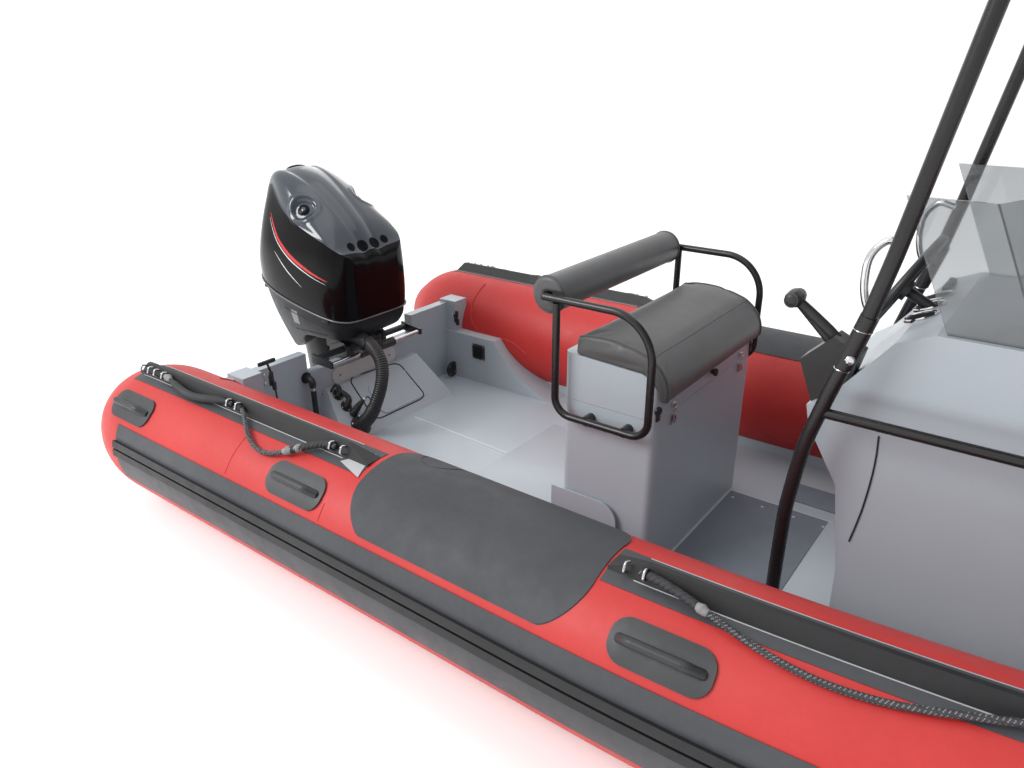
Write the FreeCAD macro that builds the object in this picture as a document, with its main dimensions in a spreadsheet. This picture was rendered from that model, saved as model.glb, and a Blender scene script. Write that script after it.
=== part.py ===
"""Rigid inflatable boat with an outboard motor, a jockey seat and a steering console.

Millimetres. +X points to the bow, +Y to port and +Z up. The origin lies on the centreline,
at the front face of the transom, at the height of the waterline.
"""
import FreeCAD, Part
import math
import os
from FreeCAD import Placement, Rotation, Vector

os.makedirs("parts", exist_ok=True)
doc = FreeCAD.newDocument("inflatable_boat")

# Driving dimensions, by alias
SIZES = {
    # Shared clearances
    "seat_gap": 0.3, "running_gap": 0.08, "moving_gap": 6, "overrun": 60,
    # Buoyancy tubes
    "tube_radius": 274, "tube_offset": 966, "tube_height": 300, "tube_tip_x": -490,
    "cone_start_x": -100, "cone_bend_x": -263,
    "cone_nose_half": 104, "cone_shoulder_radius": 430, "cone_nose_radius": 160,
    "shoulder_x": 1900, "bow_reach": 3830, "sheer_rise": 260,
    "bow_radius": 225, "shoulder_turn": 42,
    # Hull and deck
    "deck_height": 61, "keel_depth": 270, "stem_share": 0.9817, "stem_height": 330, "stem_width": 24,
    "keel_turn": 0.45, "keel_sweep": 0.3,
    "transom_thick": 50, "chine_inset": 106, "chine_drop": 275, "flange_inset": 221,
    "flange_drop": 130, "deck_inset": 196, "topside_wall": 40, "cockpit_end_share": 0.8042,
    # Transom
    "transom_top": 483, "cutout_depth": 100, "cutout_half": 353,
    "pad_length": 430, "pad_height": 84, "pad_thick": 8, "pad_centre_z": 315, "pad_bolt_pitch": 338,
    "bolt_radius": 7, "knee_inner": 640, "knee_outer": 738, "knee_depth": 62, "knee_top": 498,
    # Rigging box in front of the motor
    "rigging_half_top": 313, "rigging_half_base": 380, "rigging_shift": 36, "rigging_top_z": 275,
    "rigging_top_depth": 30, "rigging_base_depth": 220,
    "hatch_width": 330, "hatch_height": 170, "hatch_thick": 5, "hatch_corner": 34,
    "hatch_shift": 105, "hose_seat_y": -215, "hose_seat_z": 106, "hose_seat_radius": 46,
    "hose_seat_thick": 8,
    # Lockers in the aft corners
    "locker_inner": 625, "locker_top": 328, "locker_flat": 345, "locker_length": 730,
    # Rub strake, rail, pads and handles on the tubes
    "strake_thick": 3.5, "rib_height": 17, "rail_height": 42, "rail_top_width": 12,
    "strip_thick": 1.6, "pad_skin": 3.5, "step_start_x": 1168, "step_end_x": 2016,
    "step_corner": 120, "rail_ramp": 110,
    "rail_aft_ramp": 36,
    "rail_aft_x": -200, "rail_mid_x": 1145, "rail_fore_x": 2024, "rail_end_share": 0.7311,
    "handle_length": 265, "handle_width": 116, "handle_base": 7, "handle_lift": 34,
    "handle_grip": 26,
    "eye_wire": 8, "eye_spread": 54, "eye_opening": 18.2, "eye_share": 0.5, "eye_tail": 16,
    "rope_dia": 17, "line_rest": 12,
    # Jockey seat
    "seat_aft_x": 1475, "seat_fore_x": 1829, "seat_half": 408, "seat_seam_z": 675,
    "seat_wall": 8, "seat_corner": 26,
    "lid_aft_z": 845, "lid_fore_z": 748, "lid_bend_x": 1770, "lid_gap": 1,
    "cushion_aft_x": 1518, "cushion_fore_x": 1862, "cushion_top": 918, "cushion_thick": 62,
    "cushion_half": 410,
    "hoop_dia": 26, "hoop_offset": 450, "hoop_aft_x": 1467, "hoop_fore_x": 1823,
    "hoop_low_z": 628, "hoop_top_z": 1036, "hoop_bend": 62, "hoop_top_bend": 150,
    "boss_dia": 34, "boss_first_x": 1590, "boss_second_x": 1735,
    "roll_x": 1418, "roll_radius": 66, "roll_half": 436, "roll_corner": 18, "roll_mouth": 24,
    "roll_mouth_room": 4,
    "fence_aft_x": 1445, "fence_fore_x": 1715, "fence_top": 324, "fence_offset": 424,
    "fence_thick": 5, "fence_corner": 70,
    # Steering console
    "console_half": 380, "console_wall": 9, "console_tip_x": 2276, "console_top_z": 1120,
    "console_fore_x": 3020,
    "door_width": 420, "door_height": 500, "door_thick": 14, "door_sill": 190, "door_gap": 6,
    "screen_thick": 6, "screen_height": 330, "screen_rake": 25, "screen_half": 360,
    "wheel_radius": 170, "wheel_grip": 13, "wheel_x": 2395, "wheel_z": 1130, "wheel_tilt": 28,
    "wheel_hub_radius": 32, "wheel_hub_depth": 26, "wheel_hub_rise": 6, "column_length": 90,
    "column_radius": 16,
    "control_offset": 322, "control_thick": 74,
    "lever_dia": 24, "knob_dia": 40, "knob_length": 74,
    # T-top frame
    "leg_dia": 40, "leg_offset": 470, "sleeve_dia": 47, "sleeve_length": 150, "leg_bend": 900,
    "aft_foot_x": 2285, "aft_beam_x": 2575, "fore_beam_x": 3025, "bar_aft_x": 2335,
    "top_height": 2020, "top_aft_x": 2300, "top_fore_x": 3560, "top_half": 610,
    "top_thick": 38, "top_drop": 8, "top_corner": 130, "fore_leg_x": 3085, "foot_dia": 100, "foot_thick": 8,
    "grab_bar_z": 882,
    # Bow locker
    "bow_locker_share": 0.6136, "bow_locker_end_share": 0.799, "bow_locker_top": 318, "bow_lid_thick": 14,
    "bow_wall": 12, "bow_lid_margin": 45,
    # Hinges
    "knuckle_radius": 7, "hinge_pin_radius": 3, "hinge_leaf": 26, "leaf_thick": 2.5,
    "hinge_length": 90, "seat_hinge_y": 240, "door_hinge_z": 170,
    # Outboard motor
    "tilt_x": 5, "tilt_z": 440, "tilt_tube_radius": 16, "tilt_tube_half": 306,
    "steer_x": -150, "clamp_offset": 122, "clamp_thick": 24, "clamp_bottom": 120,
    "clamp_nose": 30, "clamp_head": 34, "clamp_reach": 62, "clamp_seat": 6,
    "tilt_barrel_radius": 30, "bridge_height": 46, "web_length": 48, "web_width": 60, "web_foot": 40,
    "swivel_radius": 34, "swivel_low": 178, "swivel_high": 470, "pivot_radius": 14,
    "steer_rod_x": 105, "steer_rod_z": 432, "steer_rod_radius": 10,
    "ram_radius": 23, "ram_length": 220, "rod_arm_thick": 12,
    "rod_arm_tail": 22, "rod_arm_nose": 15, "lug_length": 44, "lug_width": 40, "lug_rise": 12,
    "cowl_aft_x": -628, "cowl_fore_x": 142, "cowl_half": 252, "cowl_seam_z": 628,
    "cowl_top_z": 1282, "cowl_skirt": 24,
    "pan_low_z": 520, "inlet_aft_x": -16, "inlet_width": 92, "inlet_y": -99, "inlet_top": 548,
    "pan_step": 2, "pan_middle_inset": 26, "pan_middle_shift": 14, "pan_low_inset": 96,
    "pan_low_fore": 20, "pan_low_aft": 40,
    "engine_aft_x": -443, "engine_length": 380, "engine_width": 320, "engine_height": 360,
    "leg_half": 84, "leg_fore_x": -205, "leg_aft_x": -430, "plate_z": -250, "plate_thick": 10,
    "plate_half": 118, "plate_aft_x": -640, "plate_fore_x": -200,
    "plate_nose_half": 20, "plate_taper": 150,
    "shaft_z": -438, "gearcase_radius": 58, "gearcase_fore_x": -215, "gearcase_aft_x": -548,
    "gearcase_nose": 120, "skeg_thick": 10,
    "skeg_z": -650, "prop_radius": 168, "hub_radius": 46, "hub_length": 96, "prop_gap": 3,
    "blade_thick": 7, "shaft_radius": 12, "cap_length": 40,
    "yoke_aft": 60, "yoke_fore": 50, "yoke_width": 110, "yoke_height": 35,
    "arm_width": 50, "arm_thick": 16, "low_yoke_aft": 50, "low_yoke_fore": 30, "low_yoke_width": 90,
    # Hoses
    "rigging_hose_dia": 62, "drain_hose_dia": 27, "elbow_rise": 30, "elbow_wall": 3, "flange_thick": 6,
}
sheet = doc.addObject("Spreadsheet::Sheet", "Sizes")
for row, (alias, number) in enumerate(SIZES.items(), start=1):
    sheet.set(f"A{row}", str(number))
    sheet.setAlias(f"A{row}", alias)
doc.recompute()


class Sheet:
    """Reads a driving dimension from the spreadsheet by its alias."""

    def __getattr__(self, alias):
        return float(sheet.get(alias))


at = Sheet()
nodes = []
STARBOARD, PORT = -1, 1


# Document helpers
def keep(obj, label):
    """Marks an object of the document as a finished piece, under its own label."""
    obj.Label = label
    nodes.append(obj)
    return obj


def feature(label, shape):
    """A finished piece whose shape comes from Part's own functions."""
    obj = doc.addObject("Part::Feature", label)
    obj.Shape = shape
    return keep(obj, label)


def bound(kind, name, **expressions):
    """A Part primitive with its properties tied to cells of the sheet."""
    obj = doc.addObject("Part::" + kind, name)
    for path, expression in expressions.items():
        obj.setExpression(path.replace("__", "."), expression)
    return obj


def mirrored(shape):
    """The same shape on the other side of the boat."""
    return shape.mirror(Vector(0, 0, 0), Vector(0, 1, 0))


def compound(shapes):
    return Part.makeCompound(shapes)


def prism(points, direction):
    """A polygon through the given points, swept along a direction."""
    return Part.Face(Part.makePolygon(points + points[:1])).extrude(direction)


def rod(start, end, radius):
    """A round bar between two points."""
    return Part.makeCylinder(radius, (end - start).Length, start, end - start)


# Routes: straight runs joined by tangent arcs
def rounded_route(points, radii):
    """A wire through the points; each inner corner gets an arc of its own radius."""
    edges = []
    last = points[0]
    for before, corner, after, radius in zip(points, points[1:], points[2:], radii):
        way_in = (corner - before).normalize()
        way_out = (after - corner).normalize()
        half_turn = way_in.getAngle(way_out) / 2
        reach = radius * math.tan(half_turn)
        start = corner - way_in * reach
        end = corner + way_out * reach
        inward = (way_out - way_in).normalize()
        middle = corner + inward * (radius / math.cos(half_turn) - radius)
        if not start.isEqual(last, at.seat_gap):
            edges.append(Part.LineSegment(last, start).toShape())
        edges.append(Part.Arc(start, middle, end).toShape())
        last = end
    edges.append(Part.LineSegment(last, points[-1]).toShape())
    return Part.Wire(edges)


def tube_along(wire, diameter):
    """A solid tube of one diameter along a wire."""
    start = wire.OrderedVertexes[0].Point
    first = wire.OrderedEdges[0]
    direction = first.tangentAt(first.FirstParameter)
    profile = Part.Wire(Part.makeCircle(diameter / 2, start, direction))
    return wire.makePipeShell([profile], True, False)


def bent_tube(points, diameter, radius):
    """A metal tube bent to one radius at every corner."""
    return tube_along(rounded_route(points, [radius] * (len(points) - 2)), diameter)


# Share of a run that the arc at its end may take
ARC_SHARE = 0.45


def cord_radii(points):
    """The largest arcs that the runs of a cord leave room for."""
    radii = []
    for before, corner, after in zip(points, points[1:], points[2:]):
        shorter = min((corner - before).Length, (after - corner).Length)
        half_turn = (corner - before).getAngle(after - corner) / 2
        radii.append(ARC_SHARE * shorter / math.tan(half_turn))
    return radii


def cord(label, points, diameter):
    """A free cord: the plain tube along its route."""
    radii = cord_radii(points)
    wire = rounded_route(points, radii)
    solid = tube_along(wire, diameter)
    expected = math.pi * diameter ** 2 / 4 * wire.Length
    print(f"{label}: length {wire.Length:.0f}, smallest radius {min(radii):.0f}, "
          f"volume ratio {solid.Volume / expected:.4f}")
    return feature(label, solid)


# Stations along the tubes
class Station:
    """A cross-section of the tube: its centre, radius and outward and upward directions."""

    def __init__(self, centre, tangent, radius):
        self.centre = centre
        self.out = tangent.cross(Vector(0, 0, 1)).normalize()
        self.up = self.out.cross(tangent).normalize()
        self.radius = radius

    def point(self, degrees, offset=0.0):
        """A point at an angle above the outward direction, off the fabric by an offset."""
        angle = math.radians(degrees)
        reach = self.radius + offset
        return self.centre + self.out * (reach * math.cos(angle)) + self.up * (reach * math.sin(angle))


def cone_corners(gap):
    """The bends of the stern cone's outline, as (x, radius), swollen by a gap."""
    return ((at.cone_bend_x, at.tube_radius + gap), (at.tube_tip_x - gap, at.cone_nose_half + gap))


def cone_fall_start():
    """Where the tube starts to taper towards the stern."""
    (bend_x, bend_r), (nose_x, nose_r) = cone_corners(0)
    turn = math.atan2(bend_r - nose_r, bend_x - nose_x)
    return bend_x + at.cone_shoulder_radius * math.tan(turn / 2)


def straight_station(x):
    """A section of the straight starboard tube, or of the first part of its stern cone."""
    back = max(cone_fall_start() - x, 0)
    fall = at.cone_shoulder_radius - math.sqrt(at.cone_shoulder_radius ** 2 - back ** 2)
    return Station(Vector(x, -at.tube_offset, at.tube_height), Vector(1, 0, 0), at.tube_radius - fall)


def curved_station(turn):
    """A section of the curved forward tube; 0 is at the starboard shoulder, 90 at the stem."""
    sine, cosine = math.sin(math.radians(turn)), math.cos(math.radians(turn))
    centre = Vector(at.shoulder_x + at.bow_reach * sine, -at.tube_offset * cosine,
                    at.tube_height + at.sheer_rise * sine ** 2)
    tangent = Vector(at.bow_reach * cosine, at.tube_offset * sine, 2 * at.sheer_rise * sine * cosine)
    radius = at.tube_radius - (at.tube_radius - at.bow_radius) * sine ** 2
    return Station(centre, tangent.normalize(), radius)


def curve_x(share):
    """A place along the curved tube, as a share of its reach ahead of the shoulder."""
    return at.shoulder_x + share * at.bow_reach


def turn_at(x):
    """The turn of the curved tube whose centre stands at a given x."""
    return math.degrees(math.asin((x - at.shoulder_x) / at.bow_reach))


def tube_centre_y(x):
    """Half-distance between the tube centres at a given x."""
    if x <= at.shoulder_x:
        return at.tube_offset
    share = min((x - at.shoulder_x) / at.bow_reach, 1)
    return at.tube_offset * math.sqrt(1 - share ** 2)


def tube_centre_z(x):
    """Height of the tube centres at a given x."""
    share = max(x - at.shoulder_x, 0) / at.bow_reach
    return at.tube_height + at.sheer_rise * share ** 2


def arc_edge(station, low, high, offset):
    """An arc round the tube from one angle to another."""
    middle = (low + high) / 2
    return Part.Arc(station.point(low, offset), station.point(middle, offset),
                    station.point(high, offset)).toShape()


def line_edge(start, end):
    return Part.LineSegment(start, end).toShape()


def stepped_outline(station, steps, gap):
    """The outline of a moulding on the tube: steps are (low angle, high angle, height)."""
    low = steps[0][0]
    high = steps[-1][1]
    edges = [arc_edge(station, low, high, gap)]
    edges.append(line_edge(station.point(high, gap), station.point(high, steps[-1][2])))
    for step, lower in zip(reversed(steps), list(reversed(steps))[1:] + [None]):
        edges.append(arc_edge(station, step[1], step[0], step[2]))
        foot = gap if lower is None else lower[2]
        edges.append(line_edge(station.point(step[0], step[2]), station.point(step[0], foot)))
    return Part.Wire(edges)


def circle_outline(station, gap):
    halves = [arc_edge(station, 0, 180, gap), arc_edge(station, 180, 360, gap)]
    return Part.Wire(halves)


def lofted(outlines):
    return Part.makeLoft(outlines, True, len(outlines) == 2)


def both_sides(shape):
    return [shape, mirrored(shape)]


# Buoyancy tubes
def straight_tube(gap):
    """The straight starboard tube with its blunt stern cone, swollen by a gap."""
    radius = at.tube_radius + gap
    axis_start = Vector(at.cone_start_x, -at.tube_offset, at.tube_height)
    barrel = rod(axis_start, axis_start + Vector(at.shoulder_x - at.cone_start_x, 0, 0), radius)
    places = [(at.cone_start_x, radius)] + list(cone_corners(gap)) + [(at.tube_tip_x - gap, 0)]
    points = [Vector(x, axis_start.y + reach, axis_start.z) for x, reach in places]
    flank = rounded_route(points, [at.cone_shoulder_radius, at.cone_nose_radius])
    outline = Part.Wire(flank.OrderedEdges + [line_edge(points[-1], axis_start),
                                              line_edge(axis_start, points[0])])
    cone = Part.Face(outline).revolve(axis_start, Vector(1, 0, 0), 360)
    return barrel.fuse(cone).removeSplitter()


CURVE_TURNS = range(0, 181, 6)


def curved_tube(gap):
    return lofted([circle_outline(curved_station(turn), gap) for turn in CURVE_TURNS])


def side_box(side, low_x, high_x, half, low_z, high_z):
    """A large box on one side of the centreline, for splitting a shape."""
    corner = Vector(low_x, 0 if side == PORT else -half, low_z)
    return Part.makeBox(high_x - low_x, half, high_z - low_z, corner)


def curved_parts(whole):
    """The starboard shoulder, the port shoulder and the bow of a piece along the curved tube."""
    split = curved_station(at.shoulder_turn).centre.x
    reach = at.shoulder_x + at.bow_reach + at.tube_radius + at.overrun
    half = at.tube_offset + at.tube_radius + at.overrun
    top = at.tube_height + at.sheer_rise + at.tube_radius + at.overrun
    sides = [whole.common(side_box(side, at.shoulder_x, split, half, -top, top))
             for side in (STARBOARD, PORT)]
    bow = whole.common(Part.makeBox(reach - split, 2 * half, 2 * top, Vector(split, -half, -top)))
    return sides[0], sides[1], bow


def make_tubes():
    aft = straight_tube(0)
    whole = curved_tube(0)
    starboard, port, bow = curved_parts(whole)
    feature("tube_starboard", aft)
    feature("tube_port", mirrored(aft))
    feature("shoulder_starboard", starboard)
    feature("shoulder_port", port)
    feature("tube_bow", bow)
    swollen = straight_tube(at.seat_gap)
    return compound([swollen, mirrored(swollen)]), curved_tube(at.seat_gap)


# Rub strake
STRAKE_ANGLES = (-21, 27.5)
RIB_ANGLES = ((1.5, 7), (8.5, 14))


def banded(steps, gap):
    """A moulding that runs from one stern along the tube, round the bow and back to the other."""
    ends = [straight_station(at.cone_start_x), straight_station(at.shoulder_x)]
    aft = lofted([stepped_outline(station, steps, gap) for station in ends])
    whole = lofted([stepped_outline(curved_station(turn), steps, gap) for turn in CURVE_TURNS])
    return aft.fuse([whole, mirrored(aft)]).removeSplitter()


def make_strakes():
    feature("rub_strake", banded([(STRAKE_ANGLES[0], STRAKE_ANGLES[1], at.strake_thick)], at.seat_gap))
    seat = at.strake_thick + at.seat_gap
    ribs = [banded([(low, high, at.rib_height)], seat) for low, high in RIB_ANGLES]
    feature("strake_ribs", compound(ribs))


# Raised rails, their base strips and the line eyes
RAIL_ANGLES = (76, 89)
STRIP_ANGLES = (68, 96)


def rail_outline(station, gap):
    """A tapered fin standing on the fabric."""
    low, high = RAIL_ANGLES
    middle = (low + high) / 2
    spread = math.degrees(at.rail_top_width / 2 / (station.radius + at.rail_height))
    base = at.strip_thick + at.seat_gap + gap
    corners = [station.point(low, base), station.point(middle - spread, at.rail_height),
               station.point(middle + spread, at.rail_height), station.point(high, base)]
    edges = [line_edge(a, b) for a, b in zip(corners, corners[1:])]
    return Part.Wire([arc_edge(station, low, high, base)] + [edges[0], edges[1], edges[2]])


def ramp_cutter(x, towards, ramp):
    """Slices a ramp off a rail's end; towards is the way from the end into the rail."""
    station = straight_station(x)
    top = at.tube_height + at.tube_radius + at.rail_height + at.overrun
    foot = at.tube_height + station.radius + at.strip_thick
    peak = at.tube_height + at.tube_radius + at.rail_height
    half = at.overrun * 2
    points = [Vector(x, station.centre.y - half, foot),
              Vector(x + towards * ramp, station.centre.y - half, peak),
              Vector(x + towards * ramp, station.centre.y - half, top),
              Vector(x - towards * at.overrun, station.centre.y - half, top),
              Vector(x - towards * at.overrun, station.centre.y - half, foot)]
    return prism(points, Vector(0, 2 * half, 0))


RAIL_CONE_SHARES = (0, 0.35, 0.7, 1)
RAIL_CURVE_SHARES = (0, 1 / 6, 1 / 3, 0.5, 2 / 3, 5 / 6, 1)


def make_rails():
    fall = cone_fall_start()
    places = [at.rail_aft_x + share * (fall - at.rail_aft_x) for share in RAIL_CONE_SHARES]
    aft_ends = [straight_station(x) for x in places + [at.rail_mid_x]]
    aft = Part.makeLoft([rail_outline(station, at.seat_gap) for station in aft_ends], True, True)
    aft = aft.cut(ramp_cutter(at.rail_mid_x, -1, at.rail_ramp))
    aft = aft.cut(ramp_cutter(at.rail_aft_x, 1, at.rail_aft_ramp))
    first, last = turn_at(at.rail_fore_x), turn_at(curve_x(at.rail_end_share))
    turns = [first + (last - first) * share for share in RAIL_CURVE_SHARES]
    fore = lofted([rail_outline(curved_station(turn), at.seat_gap) for turn in turns])
    fore = fore.cut(ramp_cutter(at.rail_fore_x, 1, at.rail_ramp))
    feature("tube_rails", compound(both_sides(aft) + both_sides(fore)))
    strip_steps = [(STRIP_ANGLES[0], STRIP_ANGLES[1], at.strip_thick + at.seat_gap)]
    aft_strip = Part.makeLoft([stepped_outline(station, strip_steps, at.seat_gap)
                               for station in aft_ends], True, True)
    fore_strip = lofted([stepped_outline(curved_station(turn), strip_steps, at.seat_gap) for turn in turns])
    feature("rail_strips", compound(both_sides(aft_strip) + both_sides(fore_strip)))


# Step pads
STEP_ANGLES = (32.5, 126)


def rounded_plate(low, high, corner, bottom, thickness):
    """A flat plate with rounded corners, between two corner points given as (x, y)."""
    box = Part.makeBox(high[0] - low[0], high[1] - low[1], thickness, Vector(low[0], low[1], bottom))
    upright = [edge for edge in box.Edges if abs(edge.tangentAt(edge.FirstParameter).z) > 0.9]
    return box.makeFillet(corner, upright)


def make_step_pads():
    ends = [straight_station(at.step_start_x), straight_station(at.shoulder_x)]
    steps = [(STEP_ANGLES[0], STEP_ANGLES[1], at.pad_skin)]
    aft = lofted([stepped_outline(station, steps, at.seat_gap) for station in ends])
    last = turn_at(at.step_end_x)
    turns = [0, last / 2, last]
    fore = lofted([stepped_outline(curved_station(turn), steps, at.seat_gap) for turn in turns])
    low_y = straight_station(0).point(STEP_ANGLES[0], at.pad_skin).y
    high_y = straight_station(0).point(STEP_ANGLES[1], at.pad_skin).y
    outline = rounded_plate((at.step_start_x, low_y), (at.step_end_x, high_y), at.step_corner,
                            at.tube_height, 2 * at.tube_radius)
    pad = aft.fuse(fore).common(outline)
    feature("step_pads", compound(both_sides(pad)))


# Grab handles on the outboard side of the tubes
HANDLE_ANGLE = 44.5
HANDLE_PLACES = (-190, 807, 2108)
HANDLE_STATION_SHARES = (0, 0.07, 0.14, 0.2, 0.27, 0.5, 0.75, 1)
HANDLE_CORNER_SHARE = 0.42


def tube_station(x):
    """A section of the starboard tube at a given x, straight or curved."""
    if x <= at.shoulder_x:
        return straight_station(x)
    return curved_station(turn_at(x))


def handle(x):
    """A moulded handle: a rounded base patch with a raised bar along it."""
    station = tube_station(x + at.handle_length / 2)
    centre = station.point(HANDLE_ANGLE)
    outward = (centre - station.centre).normalize()
    along = station.up.cross(station.out).normalize()
    half = math.degrees(at.handle_width / 2 / at.tube_radius)
    ends = [tube_station(x + share * at.handle_length) for share in HANDLE_STATION_SHARES]
    base = [(HANDLE_ANGLE - half, HANDLE_ANGLE + half, at.handle_base)]
    skin = Part.makeLoft([stepped_outline(end, base, at.seat_gap) for end in ends], True, True)
    flat_half = at.handle_length / 2 - at.seat_gap
    flat = rounded_plate((-flat_half, -at.handle_width / 2), (flat_half, at.handle_width / 2),
                         at.handle_width * HANDLE_CORNER_SHARE, -at.handle_width, 2 * at.handle_width)
    flat.Placement = Placement(centre, Rotation(along, outward.cross(along), outward, "ZXY"))
    skin = skin.common(flat)
    reach = at.handle_length / 2 - at.handle_grip
    foot = centre + outward * (at.handle_base / 2)
    high = centre + outward * at.handle_lift
    points = [foot - along * reach, high - along * (reach - at.handle_lift),
              high + along * (reach - at.handle_lift), foot + along * reach]
    bar = bent_tube(points, at.handle_grip, at.handle_grip)
    whole = [(HANDLE_ANGLE - half, HANDLE_ANGLE + half, 2 * at.handle_lift)]
    keeper = Part.makeLoft([stepped_outline(end, whole, at.seat_gap) for end in ends], True, True)
    return skin.fuse(bar.common(keeper))


def make_handles():
    shapes = []
    for x in HANDLE_PLACES:
        shapes += both_sides(handle(x))
    feature("grab_handles", compound(shapes))


# Hull
def keel_z(x):
    """Height of the keel at a given x: level, then curving up to the stem."""
    share = (x + at.transom_thick) / (curve_x(at.stem_share) + at.transom_thick)
    run = max((share - at.keel_turn) / (1 - at.keel_turn), 0)
    rise = at.keel_sweep * run ** 2.5 + (1 - at.keel_sweep) * run ** 9
    return -at.keel_depth + rise * (at.stem_height + at.keel_depth)


def chine(x):
    """Half-width and height of the chine."""
    half = at.stem_width / 2 if x >= curve_x(at.stem_share) else tube_centre_y(x) - at.chine_inset
    return half, tube_centre_z(x) - at.chine_drop


def flange(x):
    """Half-width and height of the flange that the tube is bonded to."""
    half = max(tube_centre_y(x) - at.flange_inset, at.stem_width / 3)
    return half, tube_centre_z(x) - at.flange_drop


def hull_section(x):
    chine_y, chine_z = chine(x)
    flange_y, flange_z = flange(x)
    points = [Vector(x, 0, keel_z(x)), Vector(x, chine_y, chine_z), Vector(x, flange_y, flange_z),
              Vector(x, -flange_y, flange_z), Vector(x, -chine_y, chine_z)]
    return Part.makePolygon(points + points[:1])


def deck_half(x):
    """Half-width of the deck: under the bulge of the tube, and inside the hull's bottom."""
    chine_y, chine_z = chine(x)
    keel = keel_z(x)
    bottom = chine_y * (at.deck_height - keel) / (chine_z - keel)
    under_tube = tube_centre_y(x) - at.deck_inset
    if chine_z <= at.deck_height:
        return under_tube
    return min(under_tube, bottom - at.topside_wall)


COCKPIT_STATION_SHARES = (0, 0.3, 0.55, 0.72, 0.85, 0.94, 1)


def cockpit_outline(start_x, end_x, inset=0.0):
    """The deck's outline, from one x to another, at deck level."""
    curve_x = [at.shoulder_x + share * (end_x - at.shoulder_x) for share in COCKPIT_STATION_SHARES]
    places = [start_x] + [x for x in curve_x if x > start_x]
    starboard = [Vector(x, inset - deck_half(x), 0) for x in places]
    port = [Vector(point.x, -point.y, 0) for point in reversed(starboard)]
    return starboard + port


def cockpit_prism(start_x, end_x, low, high, inset=0.0):
    points = [point + Vector(0, 0, low) for point in cockpit_outline(start_x, end_x, inset)]
    return prism(points, Vector(0, 0, high - low))


def hull_stations():
    """Places of the sections along the tube's curve, in even turns, up to the stem."""
    last = turn_at(curve_x(at.stem_share))
    count = 16
    turns = [last * number / count for number in range(count)]
    places = [at.shoulder_x + at.bow_reach * math.sin(math.radians(turn)) for turn in turns]
    return places + [curve_x(at.stem_share)]


def make_hull(straight, curved):
    aft = Part.makeLoft([hull_section(x) for x in (-at.transom_thick, at.shoulder_x)], True, True)
    fore = Part.makeLoft([hull_section(x) for x in hull_stations()], True, False)
    cockpit = cockpit_prism(-at.transom_thick - at.overrun, curve_x(at.cockpit_end_share), at.deck_height,
                            at.tube_height + at.sheer_rise)
    hull = aft.fuse(fore).cut(cockpit).cut(straight).cut(curved)
    feature("hull", max(hull.Solids, key=lambda piece: piece.Volume))
    return hull


# Transom with its cut-out, in front of the hull's aft end
def make_transom(straight):
    """A flat plate with a cut-out for the motor and a knee at each of its upper corners."""
    wide = tube_centre_y(0) - at.deck_inset
    plate = Part.makeBox(at.transom_thick, 2 * wide, at.transom_top - at.deck_height,
                         Vector(-at.transom_thick, -wide, at.deck_height))
    slot = Part.makeBox(at.transom_thick + 2 * at.overrun, 2 * at.cutout_half,
                        at.cutout_depth + at.overrun,
                        Vector(-at.transom_thick - at.overrun, -at.cutout_half,
                               at.transom_top - at.cutout_depth))
    knee = Part.makeBox(at.transom_thick + at.knee_depth, at.knee_outer - at.knee_inner,
                        at.knee_top - at.deck_height,
                        Vector(-at.transom_thick, at.knee_inner, at.deck_height))
    whole = plate.cut(slot).fuse(both_sides(knee)).cut(straight).removeSplitter()
    feature("transom", max(whole.Solids, key=lambda piece: piece.Volume))


def make_transom_pad():
    body = doc.addObject("PartDesign::Body", "TransomPad")
    sketch = body.newObject("Sketcher::SketchObject", "PadOutline")
    plane = [item for item in body.Origin.OriginFeatures if item.Role == "YZ_Plane"][0]
    sketch.AttachmentSupport = [(plane, "")]
    sketch.MapMode = "FlatFace"
    half, radius = at.pad_length / 2 - at.pad_height / 2, at.pad_height / 2
    middle = at.pad_centre_z
    sketch.addGeometry([
        Part.LineSegment(Vector(-half, middle - radius, 0), Vector(half, middle - radius, 0)),
        Part.ArcOfCircle(Part.Circle(Vector(half, middle, 0), Vector(0, 0, 1), radius),
                         -math.pi / 2, math.pi / 2),
        Part.LineSegment(Vector(half, middle + radius, 0), Vector(-half, middle + radius, 0)),
        Part.ArcOfCircle(Part.Circle(Vector(-half, middle, 0), Vector(0, 0, 1), radius),
                         math.pi / 2, 3 * math.pi / 2),
        Part.Circle(Vector(-at.pad_bolt_pitch / 2, middle, 0), Vector(0, 0, 1), at.bolt_radius),
        Part.Circle(Vector(at.pad_bolt_pitch / 2, middle, 0), Vector(0, 0, 1), at.bolt_radius),
    ], False)
    pad = body.newObject("PartDesign::Pad", "PadPlate")
    pad.Profile = sketch
    pad.setExpression("Length", "Sizes.pad_thick")
    keep(body, "transom_pad")


# Box in front of the transom that takes the rigging
def rigging_slope(z):
    """How far forward the sloped front of the rigging box stands at a height."""
    share = (at.rigging_top_z - z) / (at.rigging_top_z - at.deck_height)
    return at.rigging_top_depth + share * (at.rigging_base_depth - at.rigging_top_depth)


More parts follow.
